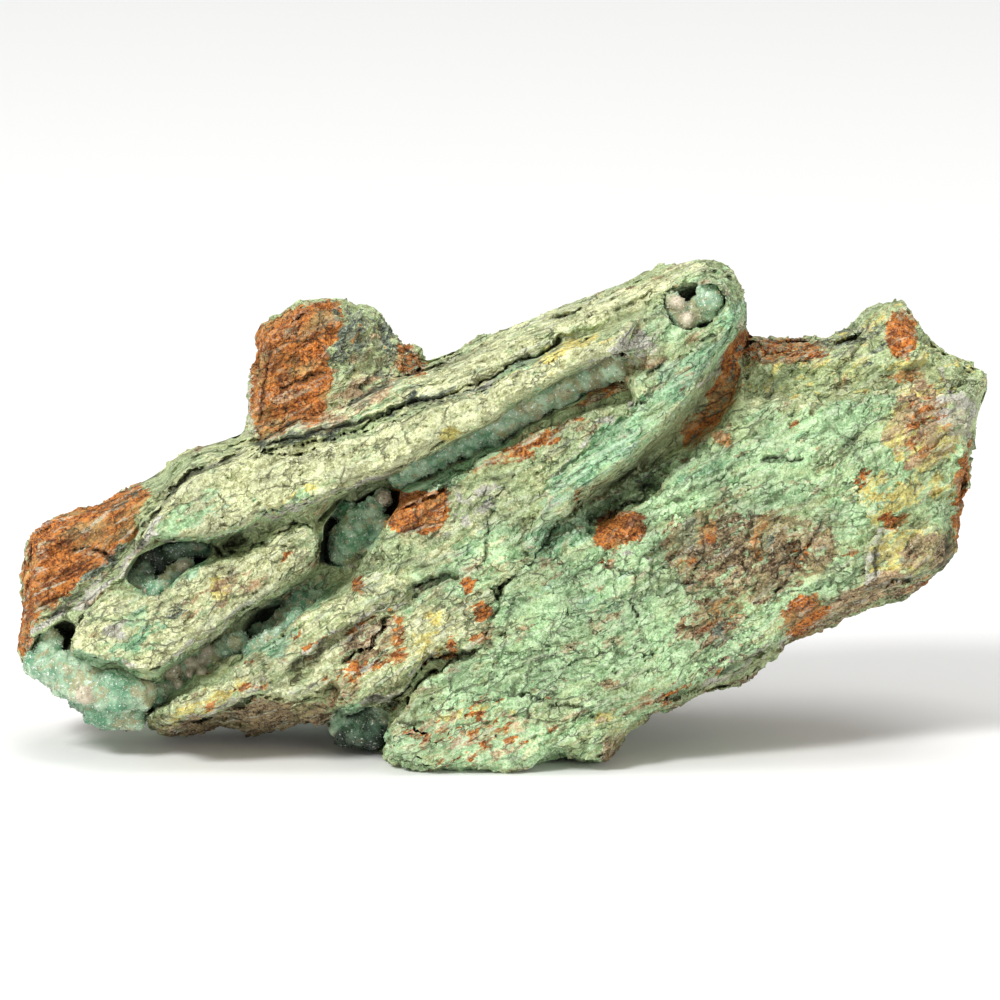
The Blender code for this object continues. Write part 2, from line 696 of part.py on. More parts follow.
def grains_of(runs):
    """Every grain of a crust as a middle and a radius."""
    grains = []
    for (*first, first_radius), (*last, last_radius), count in runs:
        for i in range(count):
            share = i / (count - 1)
            column, row, sink = (a + (b - a) * share for a, b in zip(first, last))
            radius = (first_radius + (last_radius - first_radius) * share) / 1000
            grains.append((at_front(column, row, sink / 1000), radius))
    return grains


def grain_cluster(name, runs, extra, collection):
    """Grains grown together into one lump, each one larger by the extra."""
    balls = bmesh.new()
    for middle, radius in grains_of(runs):
        bmesh.ops.create_icosphere(
            balls, subdivisions=GRAIN_SUBDIVISIONS, radius=radius + extra, matrix=Matrix.Translation(middle))
    mesh = bpy.data.meshes.new(name)
    balls.to_mesh(mesh)
    balls.free()
    cluster = bpy.data.objects.new(name, mesh)
    collection.objects.link(cluster)
    remesh(cluster, CRUST_VOXEL)
    keep_largest_body(cluster)
    thin_out(cluster, CRUST_TRIANGLES)
    return cluster


def stand_up(piece):
    """Tips the lying piece up onto its foot, with the floor at height zero."""
    turn = Matrix.Rotation(math.radians(90 - LEAN_BACK), 4, "X")
    drop = FOOT_FRONT * math.sin(math.radians(LEAN_BACK)) + WORN_OFF
    piece.data.transform(Matrix.Translation((SHIFT_RIGHT, SHIFT_BACK, -drop)) @ turn)


def cutter(mesh, cutters):
    """An object that only cuts others."""
    made = bpy.data.objects.new(mesh.name, mesh)
    made.hide_render = True
    made.display_type = "WIRE"
    cutters.objects.link(made)
    return made


def below_floor(cutters):
    """A block whose top is the floor."""
    cube = bmesh.new()
    bmesh.ops.create_cube(cube, size=2 * LENGTH)
    mesh = bpy.data.meshes.new("Below the floor")
    cube.to_mesh(mesh)
    cube.free()
    mesh.transform(Matrix.Translation((0, 0, -LENGTH)))
    return cutter(mesh, cutters)


def make_stone(collection, cutters):
    """The whole rock, with its hollows and the beds that the druse grows from."""
    stone = bpy.data.objects.new("stone", plain_slab(collection))
    collection.objects.link(stone)
    remesh(stone, SLAB_VOXEL)
    swell(stone.data)
    remesh(stone, FORM_VOXEL)
    roughen(stone.data)
    # The exact solver loses the stone while its mesh is this dense
    for name, hollow in HOLLOWS.items():
        cut(stone, cutter(hollow_mesh(name, hollow), cutters), "MANIFOLD")
    remesh(stone, CUT_VOXEL)
    keep_largest_body(stone)
    thin_out(stone, STONE_TRIANGLES, BACK_THINNING)
    for name, runs in CRUSTS.items():
        bed = grain_cluster("bed of " + name, runs, CRUST_GAP, cutters)
        bed.hide_render = True
        bed.display_type = "WIRE"
        cut(stone, bed)
    stand_up(stone)
    cut(stone, below_floor(cutters))
    keep_largest_body(stone)
    return stone


def make_crust(name, collection):
    """The druse of one hollow, grown together into one piece."""
    crust = grain_cluster(name, CRUSTS[name], 0, collection)
    stand_up(crust)
    return crust


def finish(piece, colour, roughness_value):
    """Gives a piece a material of its own."""
    material = bpy.data.materials.new(piece.name + " finish")
    material.use_nodes = True
    shader = material.node_tree.nodes["Principled BSDF"]
    shader.inputs["Base Color"].default_value = (*colour, 1)
    shader.inputs["Roughness"].default_value = roughness_value
    shader.inputs["Metallic"].default_value = 0
    piece.data.materials.clear()
    piece.data.materials.append(material)


def main():
    for old in list(bpy.data.objects):
        bpy.data.objects.remove(old)
    collection = bpy.data.collections.new("Green moonstone cluster")
    cutters = bpy.data.collections.new("Cutters")
    bpy.context.scene.collection.children.link(collection)
    bpy.context.scene.collection.children.link(cutters)
    finish(make_stone(collection, cutters), ROCK_COLOUR, ROCK_ROUGHNESS)
    for name in CRUSTS:
        finish(make_crust(name, collection), DRUSE_COLOUR, DRUSE_ROUGHNESS)


main()
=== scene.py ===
"""Dresses the green moonstone cluster: weathered rock with its minerals, green druse, and a plain stage.

The rock is worked lying face up: X along its length, Y up its face and Z towards the viewer, on a drawing
grid of columns to the right and rows downwards. It is then stood up again where it was.
"""

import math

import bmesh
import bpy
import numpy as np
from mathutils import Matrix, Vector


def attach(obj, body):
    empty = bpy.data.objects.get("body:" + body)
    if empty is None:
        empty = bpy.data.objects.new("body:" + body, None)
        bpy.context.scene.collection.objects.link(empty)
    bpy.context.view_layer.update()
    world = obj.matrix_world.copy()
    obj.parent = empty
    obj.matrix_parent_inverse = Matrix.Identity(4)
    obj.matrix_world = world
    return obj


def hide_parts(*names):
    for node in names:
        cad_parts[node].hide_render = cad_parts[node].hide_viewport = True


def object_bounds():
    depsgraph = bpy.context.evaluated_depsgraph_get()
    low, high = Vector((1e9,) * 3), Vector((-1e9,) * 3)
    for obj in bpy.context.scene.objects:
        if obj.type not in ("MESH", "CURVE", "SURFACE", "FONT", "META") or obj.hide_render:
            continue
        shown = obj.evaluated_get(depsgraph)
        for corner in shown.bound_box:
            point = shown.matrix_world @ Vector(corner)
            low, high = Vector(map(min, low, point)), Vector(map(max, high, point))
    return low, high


bl_info = {
    "name": "Green moonstone cluster",
    "version": (1, 0, 0),
    "blender": (4, 5, 0),
    "location": "View3D > Sidebar > Moonstone",
    "description": "Makes the weathered rock, the green druse and the stage of a moonstone cluster",
    "category": "Object",
}

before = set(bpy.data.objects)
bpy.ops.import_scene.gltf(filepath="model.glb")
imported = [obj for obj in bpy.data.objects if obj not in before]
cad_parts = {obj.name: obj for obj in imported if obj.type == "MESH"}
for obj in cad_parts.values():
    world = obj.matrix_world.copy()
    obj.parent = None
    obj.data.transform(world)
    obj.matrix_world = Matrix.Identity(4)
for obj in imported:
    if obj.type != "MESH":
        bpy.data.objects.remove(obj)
CAD_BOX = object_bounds()

# The stone's own measures, in metres and degrees
LENGTH = 0.160
LEAN_BACK = 12.0
FRONT_ROUNDING = 0.0034
SOLID_ROUNDING = 0.0065
CRACK_NARROWING = 0.75
RIDGE_CHALK = 0.66
RIM_HALF_THICKNESS = 0.0012
FRONT_GROUND = 0.014
EDGE_WANDER = 0.0008
WANDER_SIZE = 0.006
FINE_WANDER = 0.00045
FINE_WANDER_SIZE = 0.0017
STANDS_AT = (-0.0004, -0.0091, -0.00402)
BOX_MARGIN = 0.0001
IN_FRONT = (-0.0015, 0.0010)
COLOURED_FROM = (-0.0090, -0.0030)

# The drawing grid of the face
LEFT_COLUMN = 13
RIGHT_COLUMN = 987
FOOT_ROW = 771
MIDDLE_COLUMN = (LEFT_COLUMN + RIGHT_COLUMN) / 2
GRID = LENGTH / (RIGHT_COLUMN - LEFT_COLUMN)
BEDDING_ANGLE = 29

# How far in front of the middle plane the rim of the face lies: column, row, millimetres
RIM_POINTS = [
    (430, 770, 15), (520, 770, 16), (600, 762, 13), (350, 745, 4), (165, 738, -1), (240, 734, -2),
    (90, 714, 2), (15, 655, 0), (22, 590, -3), (60, 515, -5), (140, 480, -3), (200, 447, -1),
    (247, 400, -6), (262, 325, -9), (320, 300, -9), (390, 330, -9), (430, 365, -7), (503, 328, -4),
    (600, 290, -1), (712, 262, 5), (748, 320, 2), (760, 337, -10), (810, 336, -12), (850, 330, -8),
    (890, 304, -6), (940, 358, -4), (985, 380, 0), (972, 460, -4), (958, 530, -5), (950, 565, -3),
    (850, 612, -4), (790, 637, -6), (700, 692, 3), (640, 720, 9),
]

# The outline of the face, clockwise
OUTLINE = [
    (13, 655), (18, 636), (24, 604), (18, 584), (27, 562), (28, 545), (32, 530), (42, 523), (53, 516),
    (72, 514), (103, 503), (120, 494), (134, 482), (166, 468), (175, 458), (198, 447), (212, 444),
    (224, 437), (236, 441), (245, 432), (247, 405), (252, 362), (258, 352), (254, 340), (258, 328),
    (266, 321), (280, 318), (290, 308), (302, 303), (320, 300), (336, 301), (346, 306), (362, 309),
    (378, 316), (388, 330), (412, 357), (424, 367), (442, 360), (472, 346), (503, 328), (520, 322),
    (545, 314), (565, 307), (590, 297), (610, 288), (640, 275), (670, 268), (690, 262), (712, 260),
    (722, 263), (735, 275), (740, 292), (747, 308), (749, 325), (746, 340), (760, 336), (785, 338),
    (808, 335), (828, 339), (848, 330), (862, 321), (878, 306), (898, 304), (912, 318), (925, 338),
    (942, 359), (958, 352), (966, 372), (984, 371), (987, 383), (980, 400), (974, 430), (970, 458),
    (972, 472), (965, 492), (962, 510), (958, 530), (960, 545), (958, 556), (945, 570), (928, 585),
    (905, 595), (880, 599), (858, 610), (838, 618), (824, 631), (808, 632), (792, 637), (780, 652),
    (764, 664), (745, 678), (728, 686), (705, 691), (682, 702), (655, 711), (636, 722), (622, 738),
    (612, 752), (600, 762), (588, 765), (576, 757), (556, 754), (542, 757), (528, 767), (505, 771),
    (478, 770), (425, 771), (400, 765), (370, 755), (350, 742), (331, 738), (332, 724), (300, 726),
    (270, 732), (238, 734), (230, 727), (212, 726), (190, 734), (165, 738), (153, 730), (150, 720),
    (140, 718), (130, 726), (112, 720), (92, 714), (82, 705), (78, 694), (58, 686), (40, 674),
    (26, 672), (18, 662),
]

# Plates of the front, laid over each other in this order: outline, height of its middle above the middle
# plane, its rise to the right and upwards (metres per metre), its edge's width, the mineral it is mostly made
# of, the angle that its laminae run at, their height, and the height of its crumbs
PLATES = {
    "main mass": dict(
        outline=[
            (380, 757), (392, 712), (440, 668), (482, 640), (505, 590), (560, 520), (640, 470), (700, 440),
            (760, 405), (860, 392), (940, 392), (975, 420), (968, 500), (952, 545), (860, 598), (780, 648),
            (700, 690), (622, 735), (600, 765), (500, 775), (420, 775),
        ],
        height=0.0185, right=-0.060, up=-0.030, edge=0.0035,
        mineral="mint", cover=0.62, grain=20, laminae=0.00022, crumbs=0.00030, crusted=0.7,
    ),
    "right shoulder": dict(
        outline=[
            (745, 395), (742, 345), (790, 332), (830, 335), (880, 300), (905, 300), (945, 355), (990, 365),
            (990, 390), (930, 402), (860, 396), (800, 404),
        ],
        height=0.0080, right=0.020, up=-0.550, edge=0.0030,
        mineral="yellow", cover=0.35, grain=35, laminae=0.00020, crumbs=0.00032,
    ),
    "right crest": dict(
        outline=[(850, 598), (878, 532), (955, 528), (965, 548), (930, 566), (885, 580)],
        height=0.0175, right=-0.060, up=0.250, edge=0.0022,
        mineral="yellow", cover=0.50, grain=40, laminae=0.00018, crumbs=0.00030,
    ),
    "middle wedge": dict(
        outline=[
            (356, 580), (392, 520), (450, 478), (520, 440), (600, 410), (655, 400), (640, 440), (560, 520),
            (510, 582), (440, 600), (380, 618), (330, 640),
        ],
        height=0.0195, right=0.010, up=-0.080, edge=0.0025,
        mineral="cream", cover=0.40, grain=32, laminae=0.00025, crumbs=0.00030,
    ),
    "striped plate": dict(
        outline=[
            (322, 724), (345, 690), (330, 672), (372, 640), (400, 605), (455, 580), (492, 578), (500, 600),
            (478, 650), (430, 658), (398, 690), (360, 716),
        ],
        height=0.0205, right=-0.040, up=0.060, edge=0.0022,
        mineral="cream", cover=0.50, grain=35, laminae=0.00032, crumbs=0.00022, crusted=0.6,
    ),
    "lower ledge": dict(
        outline=[
            (150, 716), (172, 700), (212, 684), (248, 662), (285, 630), (330, 600), (385, 572), (420, 585),
            (385, 622), (345, 660), (318, 694), (250, 704), (196, 722), (160, 736),
        ],
        height=0.0200, right=0.030, up=0.050, edge=0.0020,
        mineral="cream", cover=0.55, grain=30, laminae=0.00030, crumbs=0.00020,
    ),
    "second plate": dict(
        outline=[
            (74, 648), (84, 616), (112, 590), (150, 596), (190, 570), (240, 555), (300, 520), (322, 536),
            (316, 566), (285, 592), (240, 618), (205, 648), (160, 668), (110, 662),
        ],
        height=0.0205, right=0.030, up=-0.040, edge=0.0020,
        mineral="cream", cover=0.62, grain=29, laminae=0.00022, crumbs=0.00022, crusted=0.6,
    ),
    "left block": dict(
        outline=[
            (14, 655), (20, 590), (30, 530), (55, 514), (135, 480), (155, 500), (140, 530), (118, 562),
            (80, 594), (34, 622), (24, 664),
        ],
        height=0.0125, right=0.160, up=-0.180, edge=0.0022,
        mineral="rust", cover=0.75, grain=38, laminae=0.00030, crumbs=0.00022,
    ),
    "knob": dict(
        outline=[
            (246, 436), (252, 360), (258, 325), (300, 300), (345, 304), (385, 325), (425, 366), (400, 395),
            (330, 425), (280, 438),
        ],
        height=0.0070, right=0.030, up=-0.160, edge=0.0030,
        mineral="cream", cover=0.25, grain=29, laminae=0.00012, crumbs=0.00032,
    ),
    "knob back slope": dict(
        outline=[(334, 300), (380, 315), (426, 367), (396, 392), (356, 392), (330, 360)],
        height=0.0040, right=-0.420, up=-0.160, edge=0.0040,
        mineral="slate", cover=0.45, grain=20, laminae=0.00010, crumbs=0.00036,
    ),
    "spar top face": dict(
        outline=[
            (236, 446), (330, 412), (424, 366), (503, 326), (610, 286), (690, 260), (725, 262), (690, 286),
            (640, 302), (560, 342), (515, 366), (440, 396), (335, 438), (282, 448),
        ],
        height=0.0155, right=0.060, up=-0.520, edge=0.0015,
        mineral="cream", cover=0.60, grain=26, laminae=0.00035, crumbs=0.00012,
    ),
    "spar front plate": dict(
        outline=[
            (138, 540), (162, 504), (196, 468), (245, 450), (296, 456), (335, 444), (440, 402), (520, 372),
            (560, 350), (640, 318), (668, 316), (640, 345), (560, 378), (490, 420), (400, 472), (320, 500),
            (262, 520), (215, 542), (160, 538), (140, 552),
        ],
        height=0.0240, right=0.010, up=0.020, edge=0.0018,
        mineral="cream", cover=0.72, grain=28, laminae=0.00014, crumbs=0.00016, crusted=1.0,
    ),
    "spar tip": dict(
        outline=[
            (610, 362), (640, 318), (690, 276), (724, 262), (742, 290), (748, 318), (740, 330), (700, 372),
            (672, 405), (640, 402), (625, 380),
        ],
        height=0.0215, right=-0.040, up=0.020, edge=0.0025,
        mineral="mint", cover=0.45, grain=45, laminae=0.00025, crumbs=0.00025,
    ),
    "teal ribbon": dict(
        outline=[
            (742, 318), (728, 345), (700, 385), (660, 432), (600, 478), (560, 512), (530, 552), (515, 548),
            (560, 480), (620, 432), (655, 390), (700, 345),
        ],
        height=0.0230, right=-0.020, up=0.020, edge=0.0018,
        mineral="teal", cover=0.72, grain=42, laminae=0.00028, crumbs=0.00010,
    ),
    "underside": dict(
        outline=[
            (700, 692), (770, 655), (800, 622), (866, 596), (900, 582), (935, 568), (965, 550), (965, 570),
            (930, 590), (860, 614), (800, 640), (740, 690),
        ],
        height=0.0030, right=0.000, up=1.300, edge=0.0015,
        mineral="umber", cover=0.55, grain=29, laminae=0.00030, crumbs=0.00025,
    ),
    "left underside": dict(
        outline=[
            (165, 728), (210, 718), (250, 707), (318, 700), (345, 718), (330, 740), (240, 740), (165, 745),
        ],
        height=0.0070, right=0.000, up=1.500, edge=0.0012,
        mineral="umber", cover=0.85, grain=10, laminae=0.00030, crumbs=0.00020,
    ),
}

# Grooves between the plates: path, depth and half width in metres
GROOVES = [
    ([(222, 548), (300, 518), (390, 482), (440, 456), (500, 428), (560, 392), (625, 366)], 0.0065, 0.0022),
    ([(285, 450), (350, 434), (440, 400), (520, 370), (560, 350)], 0.0022, 0.0010),
    ([(160, 690), (205, 658), (246, 626), (288, 600), (320, 580), (372, 560)], 0.0060, 0.0022),
    ([(300, 668), (350, 630), (400, 596), (455, 574)], 0.0025, 0.0012),
    ([(332, 724), (380, 700), (430, 664), (470, 652)], 0.0035, 0.0015),
    ([(746, 342), (722, 388), (690, 436), (640, 476), (596, 512)], 0.0080, 0.0030),
    ([(540, 540), (580, 512), (630, 490), (655, 474)], 0.0030, 0.0013),
    ([(30, 640), (80, 600), (120, 566), (146, 532)], 0.0015, 0.0012),
    ([(742, 400), (800, 386), (860, 388), (930, 380)], 0.0020, 0.0025),
    ([(670, 560), (730, 590), (790, 560)], 0.0022, 0.0040),
]

# Thin pale rims raised along the plates' edges: path, height in metres, half width in grid steps
RIDGES = [
    ([(38, 630), (66, 611), (95, 595), (128, 571), (146, 545), (162, 516)], 0.0008, 4.5),
    ([(160, 536), (200, 543), (236, 536), (264, 522), (322, 500), (396, 470)], 0.0007, 3.0),
    ([(184, 722), (222, 706), (262, 690), (310, 686)], 0.0007, 2.5),
    ([(122, 662), (164, 662), (206, 642), (242, 612), (288, 588)], 0.0006, 3.0),
    ([(300, 655), (338, 632), (374, 610), (404, 590)], 0.0006, 2.5),
    ([(260, 434), (256, 400), (254, 364)], 0.0007, 5.0),
    ([(450, 470), (460, 500), (446, 532)], 0.0007, 2.5),
    ([(744, 316), (732, 350), (704, 386)], 0.0007, 3.5),
    ([(642, 400), (602, 430), (562, 470), (540, 512)], 0.0006, 3.0),
    ([(862, 600), (869, 566), (878, 532)], 0.0009, 3.0),
    ([(700, 690), (760, 652), (802, 626), (858, 598), (905, 572)], 0.0007, 3.0),
    ([(942, 372), (954, 402), (972, 440)], 0.0008, 3.5),
    ([(262, 520), (300, 506), (350, 486)], 0.0005, 2.5),
    ([(330, 724), (366, 704), (400, 684), (430, 656)], 0.0006, 3.0),
    ([(452, 452), (500, 430), (560, 404), (618, 382)], 0.0006, 3.5),
    ([(620, 556), (672, 566), (700, 584)], 0.0005, 3.0),
]

# Cracks and slits, narrower than the grooves and darkened with painted shade: path, depth in metres, half width
# in grid steps
CRACKS = [
    ([(78, 548), (98, 552), (118, 560)], 0.0012, 2.2),
    ([(25, 612), (50, 602), (76, 590)], 0.0007, 1.5),
    ([(28, 626), (56, 612), (84, 598)], 0.0007, 1.5),
    ([(34, 560), (60, 546), (86, 528)], 0.0006, 1.4),
    ([(286, 390), (304, 384), (325, 375)], 0.0012, 3.0),
    ([(262, 436), (264, 400), (270, 356)], 0.0012, 2.0),
    ([(262, 444), (300, 438), (345, 426), (392, 412), (440, 399)], 0.0018, 2.6),
    ([(440, 399), (480, 384), (520, 368), (562, 350)], 0.0010, 1.6),
    ([(350, 420), (430, 384), (510, 350), (600, 308)], 0.0006, 1.2),
    ([(430, 372), (520, 334), (610, 296), (690, 270)], 0.0006, 1.2),
    ([(540, 340), (600, 312), (650, 292)], 0.0006, 1.2),
    ([(395, 420), (450, 396), (500, 378)], 0.0006, 1.2),
    ([(416, 582), (434, 577), (452, 576)], 0.0020, 3.2),
    ([(452, 577), (420, 592), (372, 622), (330, 650)], 0.0008, 1.6),
    ([(290, 668), (308, 652), (325, 640)], 0.0012, 2.2),
    ([(202, 656), (208, 645), (214, 634)], 0.0014, 3.0),
    ([(760, 464), (780, 460), (800, 457)], 0.0012, 2.4),
    ([(590, 520), (612, 508), (632, 496), (655, 474)], 0.0022, 3.4),
    ([(145, 722), (152, 710), (160, 700)], 0.0018, 3.4),
    ([(642, 374), (652, 368), (662, 358)], 0.0018, 3.0),
    ([(330, 725), (362, 708), (400, 690), (430, 660), (490, 640)], 0.0012, 2.2),
    ([(590, 565), (630, 572), (668, 580), (700, 585)], 0.0007, 1.8),
    ([(485, 630), (520, 640), (560, 640)], 0.0007, 1.8),
    ([(560, 665), (600, 650), (650, 652)], 0.0006, 1.6),
    ([(690, 690), (740, 660), (800, 630), (860, 600), (905, 572), (950, 545)], 0.0006, 1.6),
    ([(470, 700), (485, 699), (500, 700)], 0.0006, 1.4),
    ([(395, 712), (420, 720), (450, 724)], 0.0008, 1.8),
    ([(398, 732), (425, 738), (452, 742)], 0.0008, 1.8),
    ([(520, 690), (545, 700), (575, 704), (598, 716)], 0.0007, 1.8),
    ([(860, 600), (872, 570), (880, 532)], 0.0007, 1.6),
    ([(700, 520), (705, 545), (698, 570)], 0.0010, 2.2),
    ([(745, 512), (748, 540), (742, 566)], 0.0008, 1.8),
    ([(822, 520), (800, 560), (770, 598)], 0.0008, 1.8),
    ([(300, 568), (270, 584), (232, 600)], 0.0006, 1.4),
    ([(170, 540), (200, 534), (240, 522), (290, 508)], 0.0007, 1.6),
    ([(520, 470), (500, 500), (488, 530), (480, 566)], 0.0008, 1.8),
    ([(940, 372), (952, 392), (958, 420)], 0.0008, 1.8),
    ([(836, 396), (842, 372), (858, 345)], 0.0008, 1.8),
    ([(640, 560), (628, 600), (640, 640)], 0.0005, 1.6),
    ([(742, 450), (720, 480), (672, 500)], 0.0006, 1.6),
    ([(830, 430), (868, 450), (880, 490)], 0.0006, 1.6),
]

# Rounded lumps on the front: column, row, radius in grid steps, height in millimetres
BUMPS = [
    (418, 506, 31, 1.2), (616, 530, 24, 1.2), (692, 612, 15, 0.9), (720, 606, 13, 0.8), (706, 636, 13, 0.7),
    (690, 545, 17, 0.9), (735, 530, 18, 0.9), (780, 545, 17, 1.1), (760, 576, 14, 0.8), (815, 540, 15, 0.8),
    (615, 352, 9, 1.0), (632, 342, 9, 1.0), (650, 350, 9, 0.9), (606, 366, 8, 0.8), (400, 735, 14, 0.9),
    (440, 720, 15, 0.8), (482, 736, 17, 0.9), (524, 722, 17, 0.9), (562, 738, 14, 0.7), (888, 502, 28, 1.3),
    (925, 550, 22, 0.9), (488, 456, 22, 0.8), (236, 650, 14, 0.8), (226, 590, 14, 0.6), (595, 386, 18, 0.9),
    (764, 352, 14, 0.9), (795, 350, 15, 0.9), (850, 345, 18, 1.0), (900, 338, 16, 1.0), (722, 437, 10, 0.8),
    (428, 630, 20, 0.8), (372, 634, 16, 0.7), (345, 687, 16, 0.7), (480, 505, 18, 0.6), (580, 492, 11, 0.6),
    (600, 740, 14, 0.8), (655, 690, 16, 0.7), (930, 430, 26, 0.9), (800, 600, 18, 0.8), (536, 690, 22, 0.7),
]

